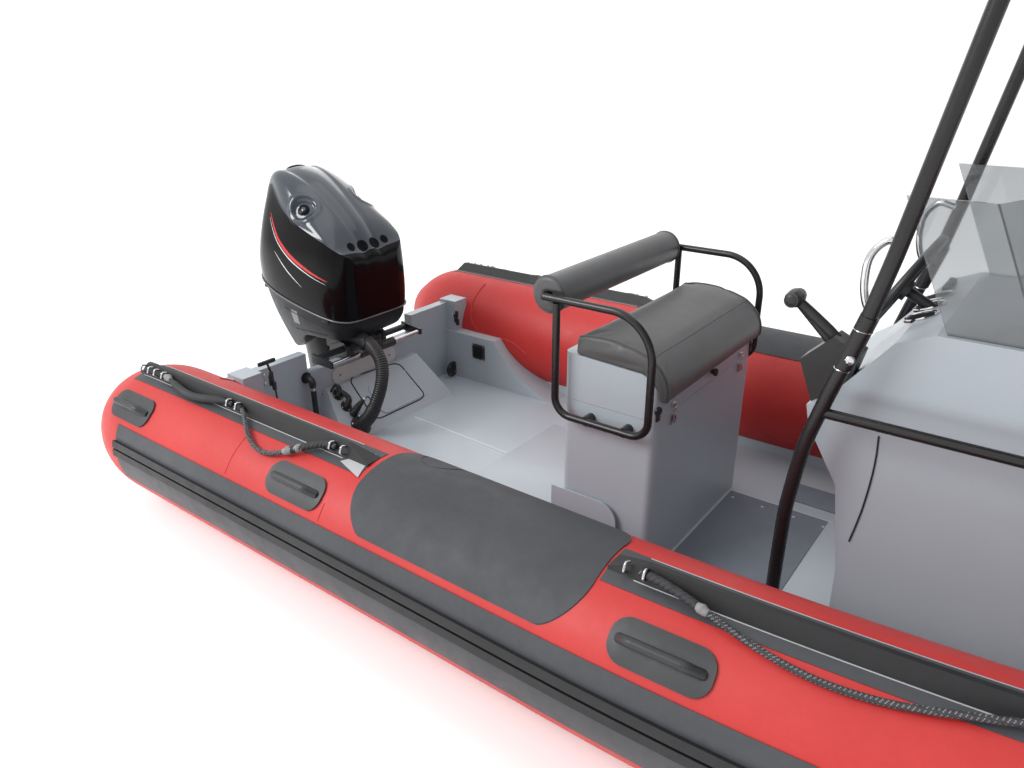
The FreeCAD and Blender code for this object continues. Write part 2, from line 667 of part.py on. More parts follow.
def make_rigging_box():
    """The sloped box below the transom's cut-out, with its hatch and the seat of the hose."""
    low = [Vector(0, -at.rigging_half_base, at.deck_height),
           Vector(at.rigging_base_depth, -at.rigging_half_base, at.deck_height),
           Vector(at.rigging_base_depth, at.rigging_half_base, at.deck_height),
           Vector(0, at.rigging_half_base, at.deck_height)]
    high = [Vector(0, -at.rigging_half_top, at.rigging_top_z),
            Vector(at.rigging_top_depth, -at.rigging_half_top, at.rigging_top_z),
            Vector(at.rigging_top_depth, at.rigging_half_top, at.rigging_top_z),
            Vector(0, at.rigging_half_top, at.rigging_top_z)]
    box = Part.makeLoft([Part.makePolygon(low + low[:1]), Part.makePolygon(high + high[:1])], True, True)
    box.translate(Vector(0, at.rigging_shift, 0))
    pad_room = Part.makeBox(at.pad_thick + at.seat_gap, at.pad_length + 2 * at.seat_gap,
                            at.pad_height, Vector(0, -at.pad_length / 2 - at.seat_gap,
                                                  at.pad_centre_z - at.pad_height / 2 - at.seat_gap))
    box = box.cut(pad_room)
    slope = math.degrees(math.atan2(at.rigging_base_depth - at.rigging_top_depth,
                                    at.rigging_top_z - at.deck_height))
    hatch = rounded_plate((-at.hatch_height / 2, -at.hatch_width / 2),
                          (at.hatch_height / 2, at.hatch_width / 2), at.hatch_corner,
                          0, at.hatch_thick)
    middle = (at.rigging_top_z + at.deck_height) / 2
    hatch.Placement = Placement(Vector(rigging_slope(middle), at.hatch_shift, middle),
                                Rotation(Vector(0, 1, 0), 90 - slope))
    # The hose's last run stands square on this flange
    seat = Vector(rigging_slope(at.hose_seat_z), at.hose_seat_y, at.hose_seat_z)
    way = Vector(math.cos(math.radians(slope)), 0, math.sin(math.radians(slope)))
    flange = rod(seat - way * at.hose_seat_thick, seat + way * at.hose_seat_thick, at.hose_seat_radius)
    feature("rigging_box", box.fuse([hatch, flange]).removeSplitter())


# Lockers in the aft corners of the cockpit
LOCKER_BEND_SHARES = (0.42, 0.38)


def make_side_lockers(straight):
    """A low locker along each tube, with a flat top that sweeps down to the deck."""
    low, high = at.deck_height, at.locker_top
    start = Vector(0, 0, high)
    shoulder = Vector(at.locker_flat, 0, high)
    along, up = LOCKER_BEND_SHARES
    middle = Vector(at.locker_flat + along * (at.locker_length - at.locker_flat), 0,
                    low + up * (high - low))
    toe = Vector(at.locker_length, 0, low)
    heel = Vector(0, 0, low)
    outline = Part.Wire([line_edge(start, shoulder), Part.Arc(shoulder, middle, toe).toShape(),
                         line_edge(toe, heel), line_edge(heel, start)])
    outer = tube_centre_y(0) - at.deck_inset
    slab = Part.Face(outline).extrude(Vector(0, outer - at.locker_inner, 0))
    slab.translate(Vector(0, at.locker_inner, 0))
    knee_room = Part.makeBox(at.knee_depth + at.seat_gap, at.knee_outer - at.knee_inner + 2 * at.seat_gap,
                             high, Vector(0, at.knee_inner - at.seat_gap, low))
    locker = slab.cut(straight).cut(mirrored(straight)).cut(knee_room)
    locker = max(locker.Solids, key=lambda piece: piece.Volume)
    feature("side_locker_port", locker)
    feature("side_locker_starboard", mirrored(locker))


# Barrel hinges for the lids and the door
def hinge_parts(centre, along, fixed_way, lift, length):
    """A barrel hinge: the leaf, end knuckles and pin that stay, and the middle knuckle that moves.

    The leaves lie on the surface below the barrel; lift is the way out of that surface.
    """
    radius, pin = at.knuckle_radius, at.hinge_pin_radius
    third = length / 3
    ends = [centre - along * (length / 2), centre - along * (third / 2),
            centre + along * (third / 2), centre + along * (length / 2)]
    gap = along * (at.seat_gap / 2)

    def leaf(start, end, way):
        low = start - lift * radius
        across = way * at.hinge_leaf
        return prism([low, end - lift * radius, end - lift * radius + across, low + across],
                     lift * at.leaf_thick)

    fixed = [rod(ends[0], ends[1] - gap, radius), rod(ends[2] + gap, ends[3], radius),
             rod(ends[0], ends[3], pin), leaf(ends[0], ends[1] - gap, fixed_way),
             leaf(ends[2] + gap, ends[3], fixed_way)]
    moving = rod(ends[1] + gap, ends[2] - gap, radius).fuse(leaf(ends[1] + gap, ends[2] - gap, -fixed_way))
    bore = rod(ends[0], ends[3], pin + at.running_gap)
    return fixed, moving.cut(bore)


# Jockey seat
# Share of the lid's roll-down, and of its height, that the side view's points stand at
LID_BEND_SHARES = (0.917, 0.669, 0.693)


def seat_profile():
    """Side view of the lid: flat on top, rolled down at the front."""
    drop_share, along, up = LID_BEND_SHARES
    base = at.seat_seam_z + at.lid_gap
    nose = Vector(at.seat_fore_x, 0, at.lid_fore_z)
    bend = Vector(at.lid_bend_x, 0, base + drop_share * (at.lid_aft_z - base))
    middle = Vector(bend.x + along * (nose.x - bend.x), 0, nose.z + up * (bend.z - nose.z))
    return bend, middle, nose


def make_seat():
    size_x = at.seat_fore_x - at.seat_aft_x
    height = at.seat_seam_z - at.deck_height
    outer = rounded_plate((at.seat_aft_x, -at.seat_half), (at.seat_fore_x, at.seat_half),
                          at.seat_corner, at.deck_height, height)
    wall = at.seat_wall
    inner = rounded_plate((at.seat_aft_x + wall, -at.seat_half + wall),
                          (at.seat_fore_x - wall, at.seat_half - wall),
                          at.seat_corner - wall, at.deck_height + wall, height + at.overrun)
    box = outer.cut(inner)
    seam = at.seat_seam_z + at.lid_gap / 2
    fixed, moving = [], []
    for side in (STARBOARD, PORT):
        centre = Vector(at.seat_aft_x - at.knuckle_radius, side * at.seat_hinge_y, seam)
        stays, turns = hinge_parts(centre, Vector(0, 1, 0), Vector(0, 0, -1), Vector(-1, 0, 0),
                                   at.hinge_length)
        fixed += stays
        moving.append(turns)
    feature("seat_box", box.fuse(fixed))

    bend, middle, nose = seat_profile()
    base = at.seat_seam_z + at.lid_gap
    aft_low = Vector(at.seat_aft_x, 0, base)
    aft_top = Vector(at.seat_aft_x, 0, at.lid_aft_z)
    fore_low = Vector(at.seat_fore_x, 0, base)
    outline = Part.Wire([line_edge(aft_low, aft_top), line_edge(aft_top, bend),
                         Part.Arc(bend, middle, nose).toShape(), line_edge(nose, fore_low),
                         line_edge(fore_low, aft_low)])
    cap = Part.Face(outline).extrude(Vector(0, 2 * at.seat_half, 0))
    cap.translate(Vector(0, -at.seat_half, 0))
    plan = rounded_plate((at.seat_aft_x, -at.seat_half), (at.seat_fore_x, at.seat_half),
                         at.seat_corner, base, height)
    cap = cap.common(plan)
    hollow = rounded_plate((at.seat_aft_x + wall, -at.seat_half + wall),
                           (at.seat_fore_x - wall, at.seat_half - wall), at.seat_corner - wall,
                           base - at.overrun, at.lid_fore_z - wall - base + at.overrun)
    feature("seat_lid", cap.cut(hollow).fuse(moving))


CUSHION_DROP_SHARES = (0.19, 0.39)
CUSHION_NOSE_SHARES = (0.826, 0.623)


def make_cushion():
    """The padded cushion, crowned on top and rolled over the lid's front edge."""
    gap = at.seat_gap
    bend, middle, nose = seat_profile()
    slope = (bend.z - at.lid_aft_z) / (bend.x - at.seat_aft_x)
    aft_low = Vector(at.cushion_aft_x, 0, at.lid_aft_z + slope * (at.cushion_aft_x - at.seat_aft_x) + gap)
    aft_drop, fore_drop = CUSHION_DROP_SHARES
    aft_top = Vector(at.cushion_aft_x, 0, at.cushion_top - aft_drop * at.cushion_thick)
    crown = Vector((at.cushion_aft_x + bend.x) / 2, 0, at.cushion_top)
    fore_top = Vector(bend.x, 0, at.cushion_top - fore_drop * at.cushion_thick)
    tip_low = Vector(at.cushion_fore_x, 0, nose.z)
    tip_in = Vector(nose.x + gap, 0, nose.z)
    low_bend = bend + Vector(0, 0, gap)
    low_middle = middle + Vector(gap, 0, gap)
    along, up = CUSHION_NOSE_SHARES
    round_point = Vector(fore_top.x + along * (tip_low.x - fore_top.x), 0,
                         tip_low.z + up * (fore_top.z - tip_low.z))
    outline = Part.Wire([line_edge(aft_low, aft_top), Part.Arc(aft_top, crown, fore_top).toShape(),
                         Part.Arc(fore_top, round_point, tip_low).toShape(),
                         line_edge(tip_low, tip_in), Part.Arc(tip_in, low_middle, low_bend).toShape(),
                         line_edge(low_bend, aft_low)])
    solid = Part.Face(outline).extrude(Vector(0, 2 * at.cushion_half, 0))
    solid.translate(Vector(0, -at.cushion_half, 0))
    feature("seat_cushion", solid)


def hoop_route(side):
    """The D-shaped hoop beside the seat, from its weld under the top rail round to the roll."""
    y = side * at.hoop_offset
    weld = Vector(at.hoop_aft_x, y, at.hoop_top_z - at.hoop_dia / 2)
    return [weld, Vector(at.hoop_aft_x, y, at.hoop_low_z), Vector(at.hoop_fore_x, y, at.hoop_low_z),
            Vector(at.hoop_fore_x, y, at.hoop_top_z), Vector(at.roll_x, y, at.hoop_top_z)]


def make_hoops():
    radii = [at.hoop_bend, at.hoop_bend, at.hoop_top_bend]
    pieces = []
    for side in (STARBOARD, PORT):
        route = hoop_route(side)
        hoop = tube_along(rounded_route(route, radii), at.hoop_dia)
        bosses = []
        for x in (at.boss_first_x, at.boss_second_x):
            outer = Vector(x, side * at.hoop_offset, at.hoop_low_z)
            inner = Vector(x, side * at.seat_half, at.hoop_low_z)
            bosses.append(rod(outer, inner, at.boss_dia / 2))
        knuckle = Part.makeSphere(at.hoop_dia / 2, route[-1])
        pieces.append(hoop.fuse(bosses + [knuckle]))
    core = rod(Vector(at.roll_x, -at.hoop_offset, at.hoop_top_z),
               Vector(at.roll_x, at.hoop_offset, at.hoop_top_z), at.hoop_dia / 2)
    feature("seat_hoops", core.fuse(pieces))


def make_roll():
    """The padded roll, with a mouth at each end where the tube goes in."""
    foam = bound("Cylinder", "RollFoam", Radius="Sizes.roll_radius", Height="2 * Sizes.roll_half",
                 Placement__Base__x="Sizes.roll_x", Placement__Base__y="Sizes.roll_half",
                 Placement__Base__z="Sizes.hoop_top_z")
    foam.Placement.Rotation = Rotation(Vector(1, 0, 0), 90)
    doc.recompute()
    shape = foam.Shape.makeFillet(at.roll_corner, [edge for edge in foam.Shape.Edges if edge.Closed])
    axis = [Vector(at.roll_x, side * (at.roll_half + at.overrun), at.hoop_top_z) for side in (STARBOARD, PORT)]
    bore = rod(axis[0], axis[1], at.hoop_dia / 2 + at.seat_gap)
    room = at.hoop_dia / 2 + at.roll_mouth_room
    mouths = []
    for side in (STARBOARD, PORT):
        centre = Vector(at.roll_x, side * (at.roll_half + at.hoop_dia / 2), at.hoop_top_z)
        inner = centre - Vector(0, side * at.roll_mouth, 0)
        slot = rod(inner, centre, room)
        way_out = Part.makeBox(at.roll_radius + at.overrun, at.roll_mouth, 2 * room,
                               Vector(at.roll_x, min(inner.y, centre.y), at.hoop_top_z - room))
        mouths += [slot, way_out]
    feature("backrest_roll", shape.cut([bore] + mouths))


def make_fences():
    """Low side plates on the deck beside the seat, with a rounded fore corner."""
    low = at.deck_height
    plate = Part.makeBox(at.fence_fore_x - at.fence_aft_x, at.fence_thick, at.fence_top - low,
                         Vector(at.fence_aft_x, at.fence_offset, low))
    corner = [edge for edge in plate.Edges
              if abs(edge.CenterOfMass.x - at.fence_fore_x) < at.seat_gap
              and abs(edge.CenterOfMass.z - at.fence_top) < at.seat_gap]
    plate = plate.makeFillet(at.fence_corner, corner)
    feature("seat_fences", compound(both_sides(plate)))


# Steering console
# Side view of the console as shares of its length and of its height above the deck
CONSOLE_SIDE_SHARES = ((0.22, 0), (0.21, 0.283), (0.153, 0.537), (0.019, 0.692), (0, 0.749),
                       (0.081, 0.792), (0.261, 0.962), (0.382, 1), (0.785, 1), (1, 0.688), (1, 0))


def console_profile(inset):
    """Side view of the console, drawn in from its outside by an inset."""
    length = at.console_fore_x - at.console_tip_x
    height = at.console_top_z - at.deck_height
    outer = [Vector(at.console_tip_x + along * length, 0, at.deck_height + up * height)
             for along, up in CONSOLE_SIDE_SHARES]
    wire = Part.makePolygon(outer + outer[:1])
    if inset:
        wire = wire.makeOffset2D(-inset, 2)
    return Part.Face(wire)


def make_console():
    half, wall = at.console_half, at.console_wall
    outer = console_profile(0).extrude(Vector(0, 2 * half, 0))
    outer.translate(Vector(0, -half, 0))
    inner = console_profile(wall).extrude(Vector(0, 2 * (half - wall), 0))
    inner.translate(Vector(0, -(half - wall), 0))
    low_edge = at.deck_height + at.door_sill
    opening = Part.makeBox(2 * at.overrun, at.door_width, at.door_height,
                           Vector(at.console_fore_x - at.overrun, -at.door_width / 2, low_edge))
    shell = outer.cut(inner).cut(opening)
    gap = at.door_gap
    door = Part.makeBox(at.door_thick, at.door_width - 2 * gap, at.door_height - 2 * gap,
                        Vector(at.console_fore_x - at.door_thick, -at.door_width / 2 + gap, low_edge + gap))
    fixed, moving = [], []
    for shift in (-at.door_hinge_z, at.door_hinge_z):
        centre = Vector(at.console_fore_x + at.knuckle_radius, (gap - at.door_width) / 2,
                        low_edge + at.door_height / 2 + shift)
        stays, turns = hinge_parts(centre, Vector(0, 0, 1), Vector(0, -1, 0), Vector(1, 0, 0),
                                   at.hinge_length)
        fixed += stays
        moving.append(turns)
    feature("console_shell", shell.fuse(fixed))
    feature("console_door", door.fuse(moving))


# Plan of the windscreen as shares of the console top's length and of the screen's half-width
SCREEN_PLAN_SHARES = ((0.067, -1), (0.733, -1), (0.867, -0.7), (0.867, 0.7), (0.733, 1), (0.067, 1))


def make_windscreen():
    """A raked acrylic screen standing on the console's top, bent back at its sides."""
    length = at.console_fore_x - at.console_tip_x
    shares = [along for along, up in CONSOLE_SIDE_SHARES if up == 1]
    back = at.console_tip_x + shares[0] * length
    top_length = (shares[1] - shares[0]) * length
    rise = Vector(-math.tan(math.radians(at.screen_rake)) * at.screen_height, 0, at.screen_height)

    def ring(inset):
        half = at.screen_half - inset
        return [Vector(back + along * top_length - (inset if along > SCREEN_PLAN_SHARES[0][0] else 0),
                       y_share * half, at.console_top_z) for along, y_share in SCREEN_PLAN_SHARES]

    base = ring(0) + list(reversed(ring(at.screen_thick)))
    top = [point + rise for point in base]
    screen = Part.makeLoft([Part.makePolygon(base + base[:1]), Part.makePolygon(top + top[:1])], True, True)
    feature("windscreen", screen)


def wheel_axis():
    """The direction from the steering column up to the wheel, towards the helm."""
    angle = math.radians(at.wheel_tilt)
    return Vector(-math.cos(angle), 0, math.sin(angle))


SPOKE_SHARE = 0.55
SPOKE_TURNS = (90, 210, 330)


def make_wheel():
    """A three-spoked wheel, and the column it turns on."""
    centre = Vector(at.wheel_x, 0, at.wheel_z)
    axis = wheel_axis()
    rim = Part.makeTorus(at.wheel_radius, at.wheel_grip, centre, axis)
    hub = rod(centre - axis * at.wheel_hub_depth, centre + axis * at.wheel_hub_rise, at.wheel_hub_radius)
    spokes = []
    across = Vector(0, 1, 0)
    up = across.cross(axis)
    for turn in SPOKE_TURNS:
        angle = math.radians(turn)
        reach = across * math.cos(angle) + up * math.sin(angle)
        tip = centre + reach * at.wheel_radius
        spokes.append(rod(centre - axis * (at.wheel_hub_depth / 2), tip, at.wheel_grip * SPOKE_SHARE))
    feature("steering_wheel", rim.fuse([hub] + spokes))
    start = centre - axis * (at.wheel_hub_depth + at.running_gap)
    column = rod(start - axis * at.column_length, start, at.column_radius)
    return column


# Outline of the throttle box, then its lever's foot and head, as shares of the console's length and height
CONTROL_BOX_SHARES = ((-0.058, 0.864), (0.051, 0.942), (0.155, 0.908), (0.117, 0.78), (0.011, 0.745))
LEVER_FOOT_SHARES = (0.032, 0.915)
LEVER_HEAD_SHARES = (-0.121, 1.017)


def make_console_fittings(column):
    """Steering column bezel on the dash and the throttle box with its lever."""
    solid = console_profile(0).extrude(Vector(0, 2 * at.console_half, 0))
    solid.translate(Vector(0, -at.console_half, 0))
    bezel = column.cut(solid)
    bezel = max(bezel.Solids, key=lambda piece: piece.CenterOfMass.distanceToPoint(Vector(at.console_fore_x, 0, 0)))
    feature("steering_column", bezel)

    side = -at.control_offset - at.control_thick / 2
    length = at.console_fore_x - at.console_tip_x
    height = at.console_top_z - at.deck_height

    def placed(shares, shift):
        along, up = shares
        return Vector(at.console_tip_x + along * length, side + shift, at.deck_height + up * height)

    points = [placed(shares, 0) for shares in CONTROL_BOX_SHARES]
    box = prism(points, Vector(0, at.control_thick, 0)).cut(solid)
    box = max(box.Solids, key=lambda piece: piece.Volume)
    foot = placed(LEVER_FOOT_SHARES, at.control_thick / 2)
    head = placed(LEVER_HEAD_SHARES, at.control_thick / 2)
    lever = rod(foot, head, at.lever_dia / 2)
    knob = rod(head - Vector(0, at.knob_length / 2, 0), head + Vector(0, at.knob_length / 2, 0),
               at.knob_dia / 2)
    feature("control_box", box.fuse([lever, knob]))


# T-top


# Side view of the bent aft leg as shares of its reach and of the top's height above the deck
AFT_LEG_SHARES = ((0, 0), (0, 0.138), (0.003, 0.256), (0.079, 0.364), (0.231, 0.451), (0.428, 0.552),
                  (0.562, 0.646), (1, 1))
SLEEVE_SHARES = ((0.317, 0.493), (0.428, 0.552))
FORE_LEG_BEND_SHARE = 0.43
BAR_SHARE = 0.72


def make_top_frame():
    """Two bent legs on each side with a grab bar between them, joined by two beams."""
    high = at.top_height - at.top_drop
    reach = at.aft_beam_x - at.aft_foot_x
    pieces = []
    for side in (STARBOARD, PORT):
        y = side * at.leg_offset

        def placed(shares):
            along, up = shares
            return Vector(at.aft_foot_x + along * reach, y, at.deck_height + up * (high - at.deck_height))

        aft = [placed(shares) for shares in AFT_LEG_SHARES]
        wire = rounded_route(aft, [min(radius, at.leg_bend) for radius in cord_radii(aft)])
        leg = tube_along(wire, at.leg_dia)
        bend_z = at.deck_height + FORE_LEG_BEND_SHARE * (high - at.deck_height)
        fore = [Vector(at.fore_leg_x, y, at.deck_height), Vector(at.fore_leg_x, y, bend_z),
                Vector(at.fore_beam_x, y, high)]
        fore_leg = bent_tube(fore, at.leg_dia, at.leg_bend)
        bar = rod(Vector(at.bar_aft_x, y, at.grab_bar_z), Vector(at.fore_leg_x, y, at.grab_bar_z),
                  at.leg_dia * BAR_SHARE / 2)
        feet = [Part.makeCylinder(at.foot_dia / 2, at.foot_thick, Vector(x, y, at.deck_height))
                for x in (aft[0].x, at.fore_leg_x)]
        sleeve_low, sleeve_high = [placed(shares) for shares in SLEEVE_SHARES]
        sleeve = rod(sleeve_low, sleeve_low + (sleeve_high - sleeve_low).normalize()
                     * at.sleeve_length, at.sleeve_dia / 2)
        pieces.append(leg.fuse([fore_leg, bar, sleeve] + feet))
    beam_z = at.top_height - at.leg_dia / 2
    beams = [rod(Vector(x, -at.leg_offset, beam_z), Vector(x, at.leg_offset, beam_z), at.leg_dia / 2)
             for x in (at.aft_beam_x, at.fore_beam_x)]
    feature("top_frame", pieces[0].fuse([pieces[1]] + beams))
    roof = rounded_plate((at.top_aft_x, -at.top_half), (at.top_fore_x, at.top_half), at.top_corner,
                         at.top_height + at.seat_gap, at.top_thick)
    feature("top_canopy", roof)


# Bow locker
def make_bow_locker(straight, curved):
    front, end = curve_x(at.bow_locker_share), curve_x(at.bow_locker_end_share)
    wall = at.bow_wall
    half_box = at.tube_offset
    start = -at.transom_thick - at.overrun

    def fitted(low_x, high_x, low, high, inset):
        box = Part.makeBox(high_x - low_x, 2 * half_box, high - low, Vector(low_x, -half_box, low))
        return box.common(cockpit_prism(start, curve_x(at.cockpit_end_share), low, high, inset)).cut(curved)

    block = fitted(front, end, at.deck_height, at.bow_locker_top, at.seat_gap)
    inside = fitted(front + wall, end - wall, at.deck_height + wall, at.bow_locker_top - wall, wall)
    margin = at.bow_lid_margin
    half = deck_half(end) - margin
    opening_low = (front + margin, -half)
    opening_high = (end - margin, half)
    opening = rounded_plate(opening_low, opening_high, at.hatch_corner,
                            at.bow_locker_top - 2 * wall, 4 * wall)
    locker = block.cut(inside).cut(opening)
    rim = margin / 3
    lid = rounded_plate((opening_low[0] - rim, opening_low[1] - rim),
                        (opening_high[0] + rim, opening_high[1] + rim), at.hatch_corner,
                        at.bow_locker_top + at.seat_gap, at.bow_lid_thick)
    radius = at.knuckle_radius
    edge = opening_high[0] + rim
    fixed, moving = [], []
    for side in (STARBOARD, PORT):
        centre = Vector(edge + radius + at.seat_gap, side * half / 2, at.bow_locker_top + radius)
        stays, turns = hinge_parts(centre, Vector(0, 1, 0), Vector(1, 0, 0), Vector(0, 0, 1),
                                   at.hinge_length)
        fixed += stays
        tongue = Part.makeBox(radius + at.hinge_leaf / 2, at.hinge_length / 4, at.leaf_thick * 2,
                              centre - Vector(radius + at.hinge_leaf / 2 + at.hinge_pin_radius + at.lid_gap,
                                              at.hinge_length / 8, at.leaf_thick))
        knuckle = rod(centre - Vector(0, at.hinge_length / 6 - at.seat_gap / 2, 0),
                      centre + Vector(0, at.hinge_length / 6 - at.seat_gap / 2, 0), radius)
        bore = rod(centre - Vector(0, at.hinge_length, 0), centre + Vector(0, at.hinge_length, 0),
                   at.hinge_pin_radius + at.running_gap)
        moving.append(knuckle.fuse(tongue).cut(bore))
    feature("bow_locker", locker.fuse(fixed))
    feature("bow_locker_lid", lid.fuse(moving))


# Outboard motor
# Bracket outlines as shares of the bracket's reach past the tilt axis and behind the transom
CLAMP_HEAD_SHARES = ((1, 0.41), (0.27, 1), (-0.73, 0.94))
CLAMP_BACK_SHARES = ((0.65, 0.97), (1, -0.97))
CLAMP_SEAT_SHARE = 0.8
CLAMP_FOOT_SHARE = 0.77


def make_brackets():
    """Clamp brackets on the hull; swivel bracket, tilt tube and steering rod on the swivel."""
    back = -at.transom_thick - at.seat_gap
    top = at.transom_top - at.cutout_depth
    outline = [(back, at.clamp_bottom), (back, top + at.clamp_seat),
               (at.tilt_x + CLAMP_SEAT_SHARE * at.clamp_nose, top + at.clamp_seat)]
    outline += [(at.tilt_x + along * at.clamp_nose, at.tilt_z + up * at.clamp_head)
                for along, up in CLAMP_HEAD_SHARES]
    outline += [(back - along * at.clamp_reach, top + up * at.clamp_reach) for along, up in CLAMP_BACK_SHARES]
    outline.append((back - CLAMP_FOOT_SHARE * at.clamp_reach, at.clamp_bottom))
    plates = []
    for side in (STARBOARD, PORT):
        low = side * at.clamp_offset - at.clamp_thick / 2
        plate = prism([Vector(x, low, z) for x, z in outline], Vector(0, at.clamp_thick, 0))
        bore = rod(Vector(at.tilt_x, low - at.overrun, at.tilt_z),
                   Vector(at.tilt_x, low + at.clamp_thick + at.overrun, at.tilt_z),
                   at.tilt_tube_radius + at.running_gap)
        plates.append(plate.cut(bore))
    feature("clamp_brackets", compound(plates))

    tube = rod(Vector(at.tilt_x, -at.tilt_tube_half, at.tilt_z),
               Vector(at.tilt_x, at.tilt_tube_half, at.tilt_z), at.tilt_tube_radius)
    inner_half = at.clamp_offset - at.clamp_thick / 2 - at.moving_gap
    barrel = rod(Vector(at.tilt_x, -inner_half, at.tilt_z), Vector(at.tilt_x, inner_half, at.tilt_z),
                 at.tilt_barrel_radius)
    bridge = Part.makeBox(at.tilt_x - at.steer_x, 2 * inner_half, at.bridge_height,
                          Vector(at.steer_x, -inner_half, at.tilt_z - at.bridge_height / 2))
    housing = Part.makeCylinder(at.swivel_radius, at.swivel_high - at.swivel_low,
                                Vector(at.steer_x, 0, at.swivel_low))
    web_low = at.swivel_low + at.web_foot
    web = Part.makeBox(at.web_length, at.web_width, at.tilt_z - web_low,
                       Vector(at.steer_x, -at.web_width / 2, web_low))
    arms = []
    for side in (STARBOARD, PORT):
        start = side * (at.tilt_tube_half - at.rod_arm_thick)
        inner = min(start, start + side * at.rod_arm_thick)
        aft, fore = at.tilt_x - at.rod_arm_tail, at.steer_rod_x + at.rod_arm_nose
        arm = prism([Vector(aft, inner, at.tilt_z - at.rod_arm_tail),
                     Vector(fore, inner, at.steer_rod_z - at.rod_arm_nose),
                     Vector(fore, inner, at.steer_rod_z + at.rod_arm_nose),
                     Vector(aft, inner, at.tilt_z + at.rod_arm_tail)],
                    Vector(0, at.rod_arm_thick, 0))
        arms.append(arm)
    rail = rod(Vector(at.steer_rod_x, -at.tilt_tube_half, at.steer_rod_z),
               Vector(at.steer_rod_x, at.tilt_tube_half, at.steer_rod_z), at.steer_rod_radius)
    pivot_bore = Part.makeCylinder(at.pivot_radius + at.running_gap, at.swivel_high - at.swivel_low
                                   + 2 * at.overrun, Vector(at.steer_x, 0, at.swivel_low - at.overrun))
    feature("swivel_bracket", tube.fuse([barrel, bridge, housing, web] + arms).cut(pivot_bore))
    feature("steering_rod", rail.cut(compound(arms)))

    ram = rod(Vector(at.steer_rod_x, -at.ram_length / 2, at.steer_rod_z),
              Vector(at.steer_rod_x, at.ram_length / 2, at.steer_rod_z), at.ram_radius)
    lug = Part.makeBox(at.lug_length, at.lug_width, at.ram_radius + at.lug_rise,
                       Vector(at.steer_rod_x - at.lug_length / 2, -at.lug_width / 2, at.steer_rod_z))
    bore = rod(Vector(at.steer_rod_x, -at.ram_length, at.steer_rod_z),
               Vector(at.steer_rod_x, at.ram_length, at.steer_rod_z), at.steer_rod_radius + at.running_gap)
    feature("steering_cylinder", ram.fuse(lug).cut(bore))


COWL_SIDE_SHARES = ((1.0, 0.0), (1.0, 0.36), (0.985, 0.462), (0.86, 0.62), (0.70, 0.79), (0.50, 0.925),
                    (0.34, 0.995), (0.22, 0.985), (0.12, 0.89), (0.06, 0.72), (0.02, 0.42), (0.0, 0.16),
                    (0.0, 0.0))


def cowl_side():
    """Side view of the cowl: upright front, a brow, and a long slope up to the back."""
    length = at.cowl_fore_x - at.cowl_aft_x
    height = at.cowl_top_z - at.cowl_seam_z
    points = [Vector(at.cowl_aft_x + length * along, 0, at.cowl_seam_z + height * up)
              for along, up in COWL_SIDE_SHARES]
    slope = Part.BSplineCurve()
    slope.interpolate(points[2:-1])
    edges = [line_edge(points[0], points[1]), line_edge(points[1], points[2]), slope.toShape(),
             line_edge(points[-2], points[-1]), line_edge(points[-1], points[0])]
    return Part.Wire(edges)


# Plan of the cowl from its front to its back, as shares of its length and of its half-width
COWL_PLAN_SHARES = ((0, 0.706), (0.016, 0.818), (0.078, 0.889), (0.539, 1), (0.753, 0.913), (0.922, 0.619),
                    (1, 0))


def cowl_plan(inset, fore_drop=0.0, aft_drop=0.0):
    """Plan of the cowl: nearly square at the front, round at the back."""
    half = at.cowl_half - inset
    fore = at.cowl_fore_x - inset - fore_drop
    aft = at.cowl_aft_x + inset + aft_drop
    port = [Vector(fore + along * (aft - fore), out * half, 0) for along, out in COWL_PLAN_SHARES]
    points = port + [Vector(point.x, -point.y, 0) for point in reversed(port[:-1])]
    round_side = Part.BSplineCurve()
    round_side.interpolate(points)
    return Part.Wire([round_side.toShape(), line_edge(points[-1], points[0])])


# Front view of the cowl as shares of its half-width and of its height above the seam
COWL_FRONT_SHARES = ((0.976, -0.092), (1, 0.183), (0.944, 0.462), (0.762, 0.752), (0.524, 0.908), (0, 1.006))


def cowl_front():
    """Front view of the cowl: leaning in towards the top."""
    rise = at.cowl_top_z - at.cowl_seam_z
    port = [Vector(0, out * at.cowl_half, at.cowl_seam_z + up * rise) for out, up in COWL_FRONT_SHARES]
    points = port + [Vector(0, -point.y, point.z) for point in reversed(port[:-1])]
    crown = Part.BSplineCurve()
    crown.interpolate(points)
    return Part.Wire([crown.toShape(), line_edge(points[-1], points[0])])


def cowl_solid():
    width = 2 * at.cowl_half + 2 * at.overrun
    side = Part.Face(cowl_side()).extrude(Vector(0, width, 0))
    side.translate(Vector(0, -width / 2, 0))
    height = at.cowl_top_z - at.cowl_seam_z + 2 * at.overrun
    plan = Part.Face(cowl_plan(0)).extrude(Vector(0, 0, height))
    plan.translate(Vector(0, 0, at.cowl_seam_z - at.overrun))
    length = at.cowl_fore_x - at.cowl_aft_x + 2 * at.overrun
    front = Part.Face(cowl_front()).extrude(Vector(length, 0, 0))
    front.translate(Vector(at.cowl_aft_x - at.overrun, 0, 0))
    return side.common(plan).common(front)


# Side view of the hollow under the cowl, as shares of the cowl's length and height
HOLLOW_SIDE_SHARES = ((0.031, -0.06), (0.031, 0.42), (0.391, 0.84), (0.73, 0.84), (0.886, 0.3), (0.886, -0.06))


